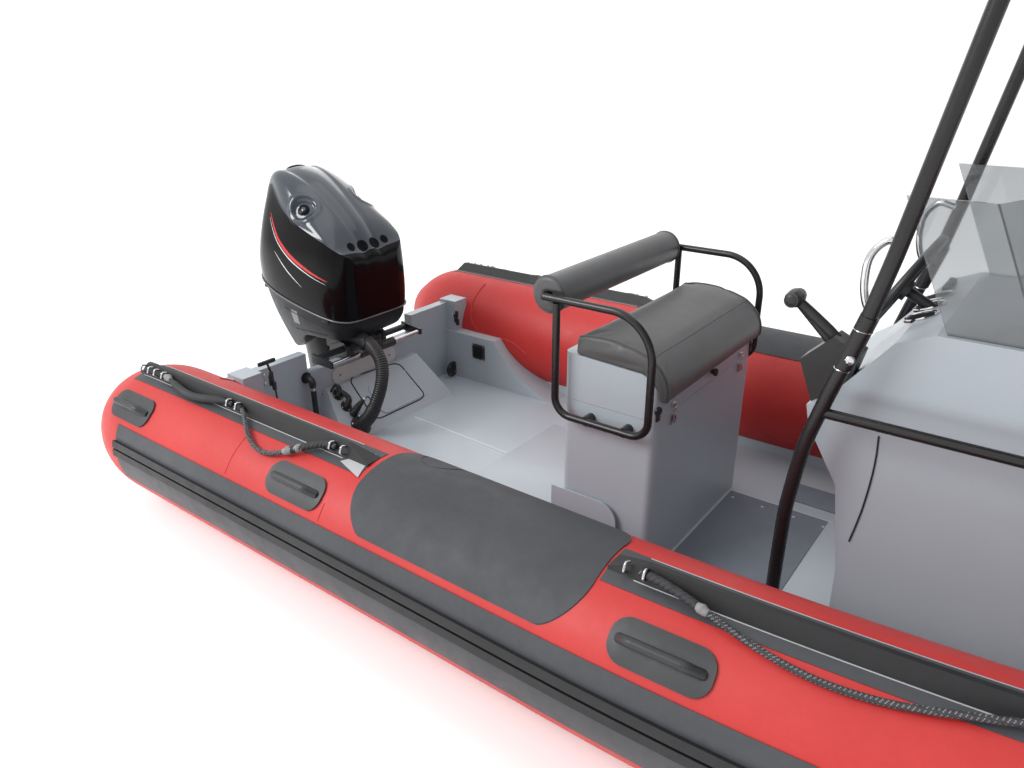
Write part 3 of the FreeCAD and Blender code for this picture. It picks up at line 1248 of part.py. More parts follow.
def cowl_hollow():
    """The hollow under the cowl: a plain block with its upper edges cut away."""
    length = at.cowl_aft_x - at.cowl_fore_x
    rise = at.cowl_top_z - at.cowl_seam_z
    side = [Vector(at.cowl_fore_x + along * length, 0, at.cowl_seam_z + up * rise)
            for along, up in HOLLOW_SIDE_SHARES]
    half = at.cowl_half - at.cowl_skirt
    block = prism(side, Vector(0, 2 * half, 0))
    block.translate(Vector(0, -half, 0))
    plan = cowl_plan(at.cowl_skirt)
    plan.translate(Vector(0, 0, at.cowl_seam_z - at.overrun))
    return block.common(Part.Face(plan).extrude(Vector(0, 0, rise + 2 * at.overrun)))


# Level section of the leg, as shares of its length and of its half-width
LEG_SECTION_SHARES = ((0.06, 0.55), (0.4, 1), (0.82, 0.62))
# Sections down the leg: shares of the height down, of the length at both edges, and of the half-width
LEG_STATION_SHARES = ((0, 0.044, -0.133, 1.31), (0.221, 0, 0, 1), (0.624, -0.044, -0.027, 0.66),
                      (1, -0.089, -0.178, 0.5))
STRUT_HIGH_SHARES = (-0.111, -0.267, 0.42)
STRUT_LOW_SHARES = (-0.311, -0.356, 0.3)
SKEG_LENGTH_SHARES = (0.27, 0.69, 0.97, 0.88)


def leg_outline(z, fore_share, aft_share, half_share):
    """A level section of the leg, pointed at both ends."""
    length = at.leg_fore_x - at.leg_aft_x
    fore = at.leg_fore_x + fore_share * length
    aft = at.leg_aft_x + aft_share * length
    half = at.leg_half * half_share
    nose, tail = Vector(fore, 0, z), Vector(aft, 0, z)
    flank = [Vector(fore + along * (aft - fore), out * half, z) for along, out in LEG_SECTION_SHARES]
    port = Part.BSplineCurve()
    port.interpolate([nose] + flank + [tail])
    starboard = Part.BSplineCurve()
    starboard.interpolate([tail] + [Vector(p.x, -p.y, p.z) for p in reversed(flank)] + [nose])
    return Part.Wire([port.toShape(), starboard.toShape()])


def make_motor():
    """The cowl over a plain engine block, the lower cowl, and the leg with its gearcase."""
    cowl = cowl_solid().cut(cowl_hollow())
    feature("motor_cowl", max(cowl.Solids, key=lambda piece: piece.Volume))

    block = bound("Box", "EngineBlock", Length="Sizes.engine_length", Width="Sizes.engine_width",
                  Height="Sizes.engine_height")
    block.Placement.Base = Vector(at.engine_aft_x, -at.engine_width / 2, at.cowl_seam_z + at.seat_gap)
    keep(block, "engine_block")

    # Lower cowl: the cowl's plan drawn in towards the midsection
    plan_high = cowl_plan(at.pan_step)
    plan_high.translate(Vector(0, 0, at.cowl_seam_z - at.seat_gap))
    plan_middle = cowl_plan(at.pan_middle_inset)
    plan_middle.translate(Vector(-at.pan_middle_shift, 0, (at.cowl_seam_z + at.pan_low_z) / 2))
    plan_low = cowl_plan(at.pan_low_inset, at.pan_low_fore, at.pan_low_aft)
    plan_low.translate(Vector(0, 0, at.pan_low_z))
    pan = Part.makeLoft([plan_high, plan_middle, plan_low], True, False)
    inlet = Part.makeBox(at.cowl_fore_x - at.inlet_aft_x, at.inlet_width, at.overrun,
                         Vector(at.inlet_aft_x, at.inlet_y - at.inlet_width / 2,
                                at.inlet_top - at.overrun))
    feature("motor_pan", pan.cut(inlet))

    # Midsection, gearcase, plate and skeg
    top = at.pan_low_z - at.seat_gap
    upper = Part.makeLoft([leg_outline(top - down * (top - at.plate_z), fore, aft, half)
                           for down, fore, aft, half in LEG_STATION_SHARES], True, False)
    low = at.plate_z - at.plate_thick
    strut = Part.makeLoft([leg_outline(at.plate_z, *STRUT_HIGH_SHARES),
                           leg_outline(at.shaft_z, *STRUT_LOW_SHARES)], True, True)
    fore_half = at.plate_nose_half
    taper_x = at.plate_fore_x - at.plate_taper
    plate = prism([Vector(at.plate_fore_x, -fore_half, low), Vector(at.plate_fore_x, fore_half, low),
                   Vector(taper_x, at.plate_half, low), Vector(at.plate_aft_x, at.plate_half, low),
                   Vector(at.plate_aft_x, -at.plate_half, low), Vector(taper_x, -at.plate_half, low)],
                  Vector(0, 0, at.plate_thick))
    centre = Vector(at.gearcase_fore_x - at.gearcase_nose, 0, at.shaft_z)
    torpedo = Part.makeCylinder(at.gearcase_radius, centre.x - at.gearcase_aft_x,
                                Vector(at.gearcase_aft_x, 0, at.shaft_z), Vector(1, 0, 0))
    ellipse = Part.Ellipse(centre, at.gearcase_nose, at.gearcase_radius)
    arc = Part.ArcOfEllipse(ellipse, 0, math.pi / 2).toShape()
    nose = Part.Face(Part.Wire([arc, line_edge(centre + Vector(0, at.gearcase_radius, 0), centre),
                                line_edge(centre, centre + Vector(at.gearcase_nose, 0, 0))]))
    nose = nose.revolve(centre, Vector(1, 0, 0), 360)
    length = at.gearcase_fore_x - at.gearcase_aft_x
    root = at.shaft_z - at.gearcase_radius / 2
    heights = (root, at.skeg_z, at.skeg_z, root)
    skeg = prism([Vector(at.gearcase_fore_x - share * length, -at.skeg_thick / 2, z)
                  for share, z in zip(SKEG_LENGTH_SHARES, heights)], Vector(0, at.skeg_thick, 0))
    # Yokes that turn on the swivel housing, and the steering arm
    reach = at.steer_x - at.leg_fore_x
    yoke_top = Part.makeBox(reach + at.yoke_aft + at.yoke_fore, at.yoke_width, at.yoke_height,
                            Vector(at.leg_fore_x - at.yoke_aft, -at.yoke_width / 2,
                                   at.swivel_high + at.moving_gap))
    arm = Part.makeBox(at.steer_rod_x - at.steer_x, at.arm_width, at.arm_thick,
                       Vector(at.steer_x, -at.arm_width / 2, at.swivel_high + at.moving_gap))
    yoke_low = Part.makeBox(reach + at.low_yoke_aft + at.low_yoke_fore, at.low_yoke_width, at.yoke_height,
                            Vector(at.leg_fore_x - at.low_yoke_aft, -at.low_yoke_width / 2,
                                   at.swivel_low - at.moving_gap - at.yoke_height))
    pivot = Part.makeCylinder(at.pivot_radius, at.swivel_high - at.swivel_low + 2 * at.moving_gap,
                              Vector(at.steer_x, 0, at.swivel_low - at.moving_gap))
    leg = upper.fuse([strut, plate, torpedo, nose, skeg, yoke_top, arm, yoke_low, pivot])
    shaft_bore = Part.makeCylinder(at.shaft_radius + at.running_gap, 2 * at.overrun,
                                   Vector(at.gearcase_aft_x - at.seat_gap, 0, at.shaft_z), Vector(1, 0, 0))
    feature("motor_leg", leg.cut(shaft_bore))


HUB_END_SHARE = 0.84
CAP_SHARES = (0.4, 0.16)
BLADE_RADIUS_SHARES = (0.2, 0.45, 0.72, 0.9, 0.985)
BLADE_CHORD_SHARES = (0.533, 0.791, 0.86, 0.619, 0.258)
BLADE_THICK_SHARES = (1, 0.81, 0.61, 0.475, 0.41)
PITCH_ANGLES = (62, 46, 34, 29, 27)
BLADE_TURNS = (0, 120, 240)


def make_propeller():
    """Three twisted blades on a tapered hub, with the shaft that runs in the gearcase."""
    start = at.gearcase_aft_x - at.prop_gap
    centre = Vector(start - at.hub_length / 2, 0, at.shaft_z)
    hub = Part.makeCone(at.hub_radius, at.hub_radius * HUB_END_SHARE, at.hub_length,
                        Vector(start, 0, at.shaft_z), Vector(-1, 0, 0))
    cap = Part.makeCone(at.hub_radius * CAP_SHARES[0], at.hub_radius * CAP_SHARES[1], at.cap_length,
                        Vector(start - at.hub_length, 0, at.shaft_z), Vector(-1, 0, 0))
    sections = []
    for radius_share, chord_share, thick_share, pitch in zip(BLADE_RADIUS_SHARES, BLADE_CHORD_SHARES,
                                                             BLADE_THICK_SHARES, PITCH_ANGLES):
        half = at.prop_radius * chord_share / 2
        thick = at.blade_thick * thick_share / 2
        turn = math.radians(pitch)
        along = Vector(-math.sin(turn), math.cos(turn), 0)
        face = Vector(math.cos(turn), math.sin(turn), 0)
        origin = Vector(centre.x, 0, centre.z + at.prop_radius * radius_share)
        lead, trail = origin + along * half, origin - along * half
        edges = [Part.Arc(lead, origin + face * thick, trail).toShape(),
                 Part.Arc(trail, origin - face * thick, lead).toShape()]
        sections.append(Part.Wire(edges))
    blade = Part.makeLoft(sections, True, False)
    blades = []
    for turn in BLADE_TURNS:
        copy = blade.copy()
        copy.rotate(centre, Vector(1, 0, 0), turn)
        blades.append(copy)
    shaft = rod(Vector(start - at.hub_length / 2, 0, at.shaft_z),
                Vector(at.gearcase_aft_x + at.overrun, 0, at.shaft_z), at.shaft_radius)
    feature("propeller", hub.fuse(blades + [cap, shaft]))




def rail_flank(x, shift):
    """A point on the outboard flank of the rail, with the ways along, up and out of it."""
    station = tube_station(x + shift)
    low, high = RAIL_ANGLES
    spread = math.degrees(at.rail_top_width / 2 / (station.radius + at.rail_height))
    foot = station.point(low, at.strip_thick + 2 * at.seat_gap)
    crest = station.point((low + high) / 2 - spread, at.rail_height)
    along = station.up.cross(station.out).normalize()
    up = (crest - foot).normalize()
    out = up.cross(along).normalize()
    if out.dot(station.out) < 0:
        out = out * -1
    return foot + (crest - foot) * at.eye_share, along, up, out


# Eyes on the rails that hold the lifelines
EYE_PLACES = (-42, 446, 1010, 2105, 3080, -140)
EYE_BEND_SHARE = 0.9


def make_line_eyes():
    """Wire bows standing on the rails' outboard flanks, two at each place."""
    bows = []
    for x in EYE_PLACES:
        for shift in (-at.eye_spread / 2, at.eye_spread / 2):
            seat, along, up, out = rail_flank(x, shift)
            half = at.eye_opening / 2 + at.eye_wire / 2
            foot = seat + out * at.seat_gap
            crown = out * (at.eye_opening + at.eye_wire / 2 + at.seat_gap)
            bows.append(bent_tube([foot - up * half, foot - up * half + crown, foot + up * half + crown,
                                   foot + up * half], at.eye_wire, at.eye_wire * EYE_BEND_SHARE))
    feature("line_eyes", compound(bows + [mirrored(bow) for bow in bows]))


# Lifelines: each runs through an eye at both ends and sags against the fabric between them


# Lifelines: first and last eye, and the angle round the tube that the line sags to
LINE_SPANS = {"aft": (0, 1, 71.5), "middle": (1, 2, 54.5), "fore": (3, 4, 60.5)}
LINE_SHARES = (0.1, 0.2, 0.3, 0.4, 0.5, 0.6, 0.7, 0.8, 0.9)


def line_points(first, last, low_angle):
    """Points from eye to eye; the line drops to an angle round the tube and rests on it."""
    start = EYE_PLACES[first] + at.eye_spread / 2
    end = EYE_PLACES[last] - at.eye_spread / 2

    def through_eye(x):
        passes = []
        for shift in (-at.eye_tail, at.eye_tail):
            seat, along, up, out = rail_flank(x, shift)
            passes.append(seat + out * (at.rope_dia / 2 + at.seat_gap))
        middle = (passes[0] + passes[1]) / 2 - tube_station(x).centre
        station = tube_station(x)
        degrees = math.degrees(math.atan2(middle.dot(station.up), middle.dot(station.out)))
        return passes, degrees, middle.Length - station.radius

    head, head_angle, head_lift = through_eye(start)
    tail, tail_angle, tail_lift = through_eye(end)
    points = list(head)
    for share in LINE_SHARES:
        x = start + share * (end - start)
        hang = math.sin(math.pi * share) ** LINE_SAG_POWER
        high_angle = head_angle + share * (tail_angle - head_angle)
        lift = head_lift + share * (tail_lift - head_lift)
        degrees = high_angle + (low_angle - high_angle) * hang
        points.append(tube_station(x).point(degrees, lift + (at.line_rest - lift) * hang))
    return points + tail




def make_lines():
    for name, span in LINE_SPANS.items():
        points = line_points(*span)
        cord(f"line_{name}_starboard", points, at.rope_dia)
        port = [Vector(point.x, -point.y, point.z) for point in points]
        cord(f"line_{name}_port", port, at.rope_dia)




DRAIN_ROUTE = ((46, -368, 336), (46, -368, 280), (49, -369, 215), (54, -371, 150), (58, -373, 105),
               (61, -374, 67))


LINE_SAG_POWER = 1.6


RIGGING_ROUTE = ((8, -100, 505), (80, -98, 508), (166, -103, 497), (232, -112, 462), (272, -128, 404),
                 (290, -156, 341), (287, -188, 268), (266, -206, 204), (231, -215, 151.2), (186.4, -215, 111.7))


ELBOW_BEND_SHARE = 0.8


def make_hoses():
    """The rigging hose, the drain hose and the elbow that the drain hose hangs from."""
    route = [Vector(*point) for point in RIGGING_ROUTE]
    cord("rigging_hose", route, at.rigging_hose_dia)
    drain = [Vector(*point) for point in DRAIN_ROUTE]
    cord("drain_hose", drain, at.drain_hose_dia)
    head = drain[0] + Vector(0, 0, at.seat_gap)
    corner = head + Vector(0, 0, at.elbow_rise)
    elbow = bent_tube([head, corner, Vector(0, corner.y, corner.z)], at.drain_hose_dia + 2 * at.elbow_wall,
                      at.drain_hose_dia * ELBOW_BEND_SHARE)
    flange = rod(Vector(0, corner.y, corner.z), Vector(at.flange_thick, corner.y, corner.z), at.drain_hose_dia)
    feature("drain_elbow", elbow.fuse(flange))


straight_tubes, curved_tubes = make_tubes()
make_strakes()
make_rails()
make_step_pads()
make_handles()
make_hull(straight_tubes, curved_tubes)
make_transom(straight_tubes)
make_transom_pad()
make_rigging_box()
make_side_lockers(straight_tubes)
make_seat()
make_cushion()
make_hoops()
make_roll()
make_fences()
make_console()
make_windscreen()
make_console_fittings(make_wheel())
make_top_frame()
make_bow_locker(straight_tubes, curved_tubes)
make_brackets()
make_motor()
make_propeller()
make_line_eyes()
make_lines()
make_hoses()

doc.recompute()
for obj in doc.Objects:
    if "Invalid" in obj.State or "Error" in obj.State:
        raise RuntimeError(f"{obj.Label} failed to build")
for node in nodes:
    if node.Shape.isNull() or not node.Shape.isValid():
        raise RuntimeError(f"{node.Label} has no valid shape")
for node in nodes:
    node.Shape.exportStep(f"parts/{node.Label}.step")
    box = node.Shape.BoundBox
    print(f"{node.Label}: {len(node.Shape.Solids)} solids, volume {node.Shape.Volume / 1e6:.3f} l, "
          f"x {box.XMin:.0f}..{box.XMax:.0f} y {box.YMin:.0f}..{box.YMax:.0f} z {box.ZMin:.0f}..{box.ZMax:.0f}")
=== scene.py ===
import math

import bmesh
import bpy
from mathutils import Matrix, Vector
from mathutils.bvhtree import BVHTree


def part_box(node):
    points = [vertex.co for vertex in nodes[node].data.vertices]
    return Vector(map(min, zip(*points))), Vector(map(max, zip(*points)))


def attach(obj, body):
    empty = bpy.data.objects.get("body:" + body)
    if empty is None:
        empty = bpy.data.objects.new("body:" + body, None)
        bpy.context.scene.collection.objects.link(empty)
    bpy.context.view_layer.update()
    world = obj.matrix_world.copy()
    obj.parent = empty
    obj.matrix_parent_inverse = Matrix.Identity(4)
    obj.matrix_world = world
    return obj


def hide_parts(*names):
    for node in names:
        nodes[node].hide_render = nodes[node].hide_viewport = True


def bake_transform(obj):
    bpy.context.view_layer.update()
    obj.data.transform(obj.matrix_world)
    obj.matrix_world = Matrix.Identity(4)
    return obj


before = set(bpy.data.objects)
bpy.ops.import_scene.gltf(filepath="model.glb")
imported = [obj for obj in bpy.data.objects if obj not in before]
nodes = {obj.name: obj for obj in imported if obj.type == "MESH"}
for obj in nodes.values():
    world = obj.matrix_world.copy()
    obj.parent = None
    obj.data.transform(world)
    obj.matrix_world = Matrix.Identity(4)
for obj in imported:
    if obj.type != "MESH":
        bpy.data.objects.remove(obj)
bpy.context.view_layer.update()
scene = bpy.context.scene
SIDES = ((-1, "starboard"), (1, "port"))
FORE, PORTWARD, UP = Vector((1, 0, 0)), Vector((0, 1, 0)), Vector((0, 0, 1))
FOCAL_PIXELS = 775.646
PICTURE = (1024, 768)
SENSOR_MM = 36.0


def placed(name, data):
    """A new object in the scene."""
    obj = bpy.data.objects.new(name, data)
    scene.collection.objects.link(obj)
    return obj


def make_camera():
    data = bpy.data.cameras.new("view")
    data.sensor_width = SENSOR_MM
    data.lens = FOCAL_PIXELS / PICTURE[0] * SENSOR_MM
    data.clip_start, data.clip_end = 0.05, 200.0
    camera = placed("view", data)
    right = Vector((0.79889, 0.60145, -0.00493))
    ahead = Vector((-0.55414, 0.73282, -0.39484)).normalized()
    right = (right - ahead * right.dot(ahead)).normalized()
    turn = Matrix((right, right.cross(ahead), -ahead)).transposed()
    camera.matrix_world = Matrix.Translation((2.81449, -2.47574, 1.77996)) @ turn.to_4x4()
    scene.camera = camera


make_camera()


# Materials

M = {}


class Surface:
    """A procedural material, built round one Principled shader."""

    def __init__(self, name, **settings):
        M[name] = bpy.data.materials.new(name)
        M[name].use_nodes = True
        self.tree = M[name].node_tree
        self.shader = self.tree.nodes["Principled BSDF"]
        for key, value in settings.items():
            self.shader.inputs[key.replace("_", " ")].default_value = value
        self.where = self.tree.nodes.new("ShaderNodeTexCoord").outputs["Object"]
        self.bent = None

    def node(self, kind, inputs, **settings):
        """A new node's outputs; its inputs take numbers, colours or other outputs."""
        made = self.tree.nodes.new(kind)
        for key, value in settings.items():
            setattr(made, key, value)
        for key, value in inputs.items():
            if isinstance(value, bpy.types.NodeSocket):
                self.tree.links.new(value, made.inputs[key])
            else:
                made.inputs[key].default_value = value
        return made.outputs

    def noise(self, scale, detail=3.0):
        return self.node("ShaderNodeTexNoise", {"Vector": self.where, "Scale": scale, "Detail": detail,
                                                "Roughness": 0.55})["Fac"]

    def cells(self, scale, randomness=1.0):
        return self.node("ShaderNodeTexVoronoi", {"Vector": self.where, "Scale": scale,
                                                  "Randomness": randomness})["Distance"]

    def both(self, first, second, share):
        """Two textures added in shares."""
        parts = [self.node("ShaderNodeMath", {0: one, 1: part}, operation="MULTIPLY")["Value"]
                 for one, part in ((first, share), (second, 1 - share))]
        return self.node("ShaderNodeMath", {0: parts[0], 1: parts[1]}, operation="ADD")["Value"]

    def ramp(self, source, low, high, out_low=0.0, out_high=1.0):
        return self.node("ShaderNodeMapRange", {"Value": source, "From Min": low, "From Max": high,
                                                "To Min": out_low, "To Max": out_high})["Result"]

    def color(self, source, dark, light, low=0.3, high=0.7):
        mixed = self.node("ShaderNodeMix", {0: self.ramp(source, low, high), 6: (*dark, 1.0), 7: (*light, 1.0)},
                          data_type="RGBA")
        self.tree.links.new(mixed[2], self.shader.inputs["Base Color"])

    def rough(self, source, low, high):
        self.tree.links.new(self.ramp(source, 0.25, 0.75, low, high), self.shader.inputs["Roughness"])

    def bump(self, source, distance, strength):
        inputs = {"Height": source, "Distance": distance, "Strength": strength}
        if self.bent is not None:
            inputs["Normal"] = self.bent
        self.bent = self.node("ShaderNodeBump", inputs)["Normal"]
        self.tree.links.new(self.bent, self.shader.inputs["Normal"])


def fabric(name, dark, light, low, high, weave=900.0, depth=0.00012, sheen=0.0):
    """Coated woven fabric: a fine crossed weave, slow colour patches and scuffs."""
    s = Surface(name, Specular_IOR_Level=0.4, Sheen_Weight=sheen)
    s.color(s.both(s.noise(2.3, 4.0), s.noise(55.0), 0.7), dark, light)
    s.rough(s.noise(14.0, 4.0), low, high)
    s.bump(s.noise(3.0, 2.0), 0.0018, 0.35)
    s.bump(s.cells(weave, 0.35), depth, 0.5)


def moulded(name, dark, light, low, high, grain=420.0, depth=0.00015, metallic=0.0, specular=0.45, coat=0.0):
    """Moulded or painted material: fine grain, slow colour drift and uneven gloss."""
    s = Surface(name, Metallic=metallic, Specular_IOR_Level=specular, Coat_Weight=coat, Coat_Roughness=0.12)
    s.color(s.noise(4.0, 4.0), dark, light)
    s.rough(s.noise(24.0, 4.0), low, high)
    s.bump(s.noise(grain, 2.0), depth, 0.5)


def other_surfaces():
    """The gelcoat, chrome, upholstery, clear screen and gloss cowl paint."""
    s = Surface("gelcoat_grey", Specular_IOR_Level=0.5, Coat_Weight=0.25, Coat_Roughness=0.18)
    s.color(s.both(s.noise(1.7, 4.0), s.noise(90.0, 4.0), 0.8), (0.350, 0.392, 0.432), (0.392, 0.434, 0.474))
    s.rough(s.noise(9.0, 4.0), 0.3, 0.44)
    s.bump(s.noise(7.0, 2.0), 0.0012, 0.3)
    s.bump(s.noise(480.0, 2.0), 0.00006, 0.5)
    s = Surface("chrome_steel", Metallic=1.0)
    s.color(s.noise(30.0), (0.55, 0.56, 0.57), (0.72, 0.73, 0.74))
    s.rough(s.noise(60.0, 4.0), 0.08, 0.2)
    s.bump(s.noise(900.0, 2.0), 0.00002, 0.4)
    s = Surface("upholstery", Specular_IOR_Level=0.45, Sheen_Weight=0.08)
    s.color(s.noise(6.0), (0.066, 0.067, 0.069), (0.075, 0.076, 0.079))
    s.rough(s.noise(16.0, 4.0), 0.40, 0.48)
    s.bump(s.cells(520.0), 0.00025, 0.5)
    s.bump(s.noise(10.0, 2.0), 0.0015, 0.3)
    s = Surface("clear_screen", Roughness=0.05, Transmission_Weight=0.9, IOR=1.46)
    s.color(s.noise(3.0), (0.45, 0.47, 0.48), (0.52, 0.54, 0.55))
    s.bump(s.noise(5.0), 0.0005, 0.1)
    s = Surface("motor_paint", Specular_IOR_Level=0.09, Coat_Weight=0.05, Coat_Roughness=0.05)
    s.color(s.cells(2600.0), (0.0065, 0.0065, 0.0075), (0.0040, 0.0040, 0.0046), 0.1, 0.5)
    s.rough(s.noise(8.0), 0.10, 0.18)
    s.bump(s.noise(6.0, 2.0), 0.0004, 0.25)


# Name, dark and light colour, lowest and highest roughness, then what fabric() or moulded() takes next
for row in (
    ("tube_fabric", (0.455, 0.024, 0.022), (0.525, 0.034, 0.031), 0.42, 0.56),
    ("strake_grey", (0.040, 0.043, 0.048), (0.062, 0.066, 0.073), 0.38, 0.55, 600.0),
    ("rail_black", (0.010, 0.010, 0.011), (0.018, 0.018, 0.020), 0.36, 0.55),
    ("strip_grey", (0.045, 0.048, 0.053), (0.065, 0.069, 0.076), 0.48, 0.62),
    ("pad_rubber", (0.040, 0.043, 0.048), (0.056, 0.060, 0.067), 0.55, 0.72, 420.0, 0.0003),
    ("rope_black", (0.014, 0.014, 0.016), (0.050, 0.050, 0.056), 0.5, 0.75, 1300.0, 0.0005),
    ("canopy_cloth", (0.012, 0.012, 0.013), (0.022, 0.022, 0.024), 0.6, 0.8, 900.0, 0.00012, 0.15),
    ("rope_fleck", (0.16, 0.16, 0.165), (0.26, 0.26, 0.27), 0.7, 0.9, 1600.0),
    ("rope_tape", (0.17, 0.165, 0.165), (0.30, 0.29, 0.29), 0.6, 0.8, 700.0),
    ("rope_sleeve", (0.012, 0.014, 0.015), (0.040, 0.044, 0.046), 0.55, 0.75, 800.0),
):
    fabric(*row)
for row in (
    ("handle_black", (0.022, 0.023, 0.025), (0.040, 0.042, 0.046), 0.34, 0.5),
    ("frame_tube", (0.008, 0.008, 0.009), (0.014, 0.014, 0.015), 0.22, 0.34, 260.0),
    ("black_plastic", (0.012, 0.012, 0.013), (0.022, 0.022, 0.024), 0.3, 0.46, 700.0),
    ("motor_metal", (0.010, 0.011, 0.012), (0.018, 0.019, 0.021), 0.25, 0.4, 500.0),
    ("bracket_metal", (0.014, 0.015, 0.016), (0.028, 0.029, 0.031), 0.3, 0.5, 320.0),
    ("engine_metal", (0.10, 0.10, 0.105), (0.16, 0.16, 0.165), 0.4, 0.6, 420.0, 0.00015, 0.6),
    ("hose_black", (0.010, 0.010, 0.011), (0.020, 0.020, 0.022), 0.34, 0.5, 900.0),
    ("pale_plate", (0.50, 0.50, 0.49), (0.58, 0.58, 0.57), 0.34, 0.46),
    ("motor_top", (0.022, 0.031, 0.044), (0.030, 0.041, 0.056), 0.12, 0.20, 1800.0, 0.00005, 0.0, 0.45, 0.6),
    ("motor_grey", (0.013, 0.015, 0.018), (0.021, 0.024, 0.028), 0.36, 0.48, 1200.0, 0.00006, 0.0, 0.17),
    ("motor_trim", (0.10, 0.105, 0.11), (0.14, 0.145, 0.15), 0.25, 0.35, 900.0, 0.00005),
    ("stripe_white", (0.60, 0.60, 0.61), (0.70, 0.70, 0.71), 0.2, 0.3, 1500.0, 0.00002),
    ("stripe_red", (0.50, 0.012, 0.014), (0.60, 0.018, 0.020), 0.2, 0.3, 1500.0, 0.00002),
    # Near-black for the blank dial faces, and for dark patches that paint the shade in dimples, a slot, vent gaps and
    # a groove.
    ("dark_hole", (0.002, 0.002, 0.0025), (0.004, 0.004, 0.005), 0.5, 0.7, 420.0, 0.00015, 0.0, 0.08),
    ("label_grey", (0.16, 0.165, 0.17), (0.20, 0.205, 0.21), 0.35, 0.5, 1500.0, 0.00003),
    ("upholstery_seam", (0.008, 0.008, 0.009), (0.012, 0.012, 0.013), 0.4, 0.55),
    # A lighter copy of the gelcoat, for pale lines painted as highlights on the deck.
    ("gel_light", (0.50, 0.54, 0.58), (0.58, 0.62, 0.66), 0.35, 0.45, 900.0, 0.00004),
    # Tread panels in a dark colour that also paints the shade on the deck round the seat and console.
    ("deck_tread", (0.135, 0.155, 0.185), (0.165, 0.187, 0.220), 0.55, 0.7, 260.0, 0.0006),
    # A pale grey for the corner tabs, and for lines painted as highlights along the rail strips.
    ("edge_pale", (0.34, 0.34, 0.35), (0.46, 0.46, 0.47), 0.4, 0.5, 900.0, 0.00004),
):
    moulded(*row)
other_surfaces()

NODE_MATERIALS = {
    "tube_fabric": ("tube_starboard", "tube_port", "shoulder_starboard", "shoulder_port", "tube_bow"),
    "strake_grey": ("rub_strake",),
    "rail_black": ("tube_rails", "strake_ribs"),
    "strip_grey": ("rail_strips",),
    "pad_rubber": ("step_pads",),
    "handle_black": ("grab_handles",),
    "pale_plate": ("transom_pad",),
    "frame_tube": ("seat_hoops", "top_frame"),
    "upholstery": ("seat_cushion", "backrest_roll"),
    "clear_screen": ("windscreen",),
    "black_plastic": ("steering_wheel", "control_box", "steering_column", "drain_elbow", "console_door"),
    "chrome_steel": ("steering_rod", "line_eyes"),
    "motor_paint": ("motor_cowl",),
    "motor_metal": ("motor_pan", "motor_leg", "propeller"),
    "engine_metal": ("engine_block",),
    "bracket_metal": ("clamp_brackets", "swivel_bracket", "steering_cylinder"),
    "canopy_cloth": ("top_canopy",),
    "hose_black": ("rigging_hose", "drain_hose"),
}
chosen = {node: material for material, names in NODE_MATERIALS.items() for node in names}
for name, obj in nodes.items():
    for place in obj.material_slots:
        place.material = M[chosen.get(name, "rope_black" if name.startswith("line_") else "gelcoat_grey")]


# Stage and light

def make_stage():
    """A pale floor, a world that darkens towards the bow, and three soft lights."""
    mesh = bpy.data.meshes.new("floor")
    mesh.from_pydata([(-40, -40, 0), (40, -40, 0), (40, 40, 0), (-40, 40, 0)], [], [(0, 1, 2, 3)])
    floor = placed("floor", mesh)
    s = Surface("floor_paper", Roughness=0.9, Specular_IOR_Level=0.1, Emission_Strength=0.14)
    s.color(s.noise(0.4), (0.93, 0.93, 0.93), (0.95, 0.95, 0.95), 0.0, 1.0)
    mesh.materials.append(M["floor_paper"])
    world = bpy.data.worlds.new("studio")
    scene.world = world
    world.use_nodes = True
    tree = world.node_tree
    back = tree.nodes["Background"]
    back.inputs["Strength"].default_value = 1.08
    place, parts, ramp = (tree.nodes.new("ShaderNode" + kind) for kind in ("TexCoord", "SeparateXYZ", "ValToRGB"))
    for element, position, color in zip(ramp.color_ramp.elements, (0.05, 0.75), ((1, 1, 1), (0.44, 0.45, 0.47))):
        element.position = position
        element.color = (*color, 1.0)
    for source, target in ((place.outputs["Generated"], parts.inputs[0]), (parts.outputs[0], ramp.inputs[0]),
                           (ramp.outputs[0], back.inputs["Color"])):
        tree.links.new(source, target)
    for name, place, target, size, power in (
        ("key", (-3.5, -7.0, 6.5), (1.0, 0.0, 0.6), 4.5, 640.0),
        ("top", (1.5, 1.0, 8.0), (1.5, 0.0, 0.3), 6.0, 60.0),
        ("rim", (-4.0, 6.0, 4.0), (1.0, 0.0, 0.6), 4.0, 40.0),
    ):
        light = bpy.data.lights.new(name, "AREA")
        light.size, light.energy = size, power
        obj = placed(name, light)
        obj.location = place
        obj.rotation_euler = (Vector(target) - Vector(place)).to_track_quat("-Z", "Y").to_euler()


make_stage()


# Building blocks

def add_mesh(name, points, faces, materials, body, sharp=None):
    """A smooth mesh piece in frame metres, riding on a body."""
    mesh = bpy.data.meshes.new(name)
    mesh.from_pydata([tuple(point) for point in points], [], faces)
    mesh.validate()
    for material in [materials] if isinstance(materials, str) else materials:
        mesh.materials.append(M[material])
    obj = placed(name, mesh)
    work = bmesh.new()
    work.from_mesh(mesh)
    bmesh.ops.recalc_face_normals(work, faces=work.faces)
    work.to_mesh(mesh)
    work.free()
    mesh.shade_smooth()
    if sharp is not None:
        mesh.set_sharp_from_angle(angle=math.radians(sharp))
    if body is not None:
        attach(obj, body)
    return obj


def modified(obj, kind, **settings):
    """Works one modifier into the piece's mesh."""
    modifier = obj.modifiers.new("shape", kind)
    for key, value in settings.items():
        setattr(modifier, key, value)
    mesh = bpy.data.meshes.new_from_object(obj.evaluated_get(bpy.context.evaluated_depsgraph_get()))
    old = obj.data
    obj.modifiers.clear()
    obj.data = mesh
    bpy.data.meshes.remove(old)
    mesh.shade_smooth()
    return obj


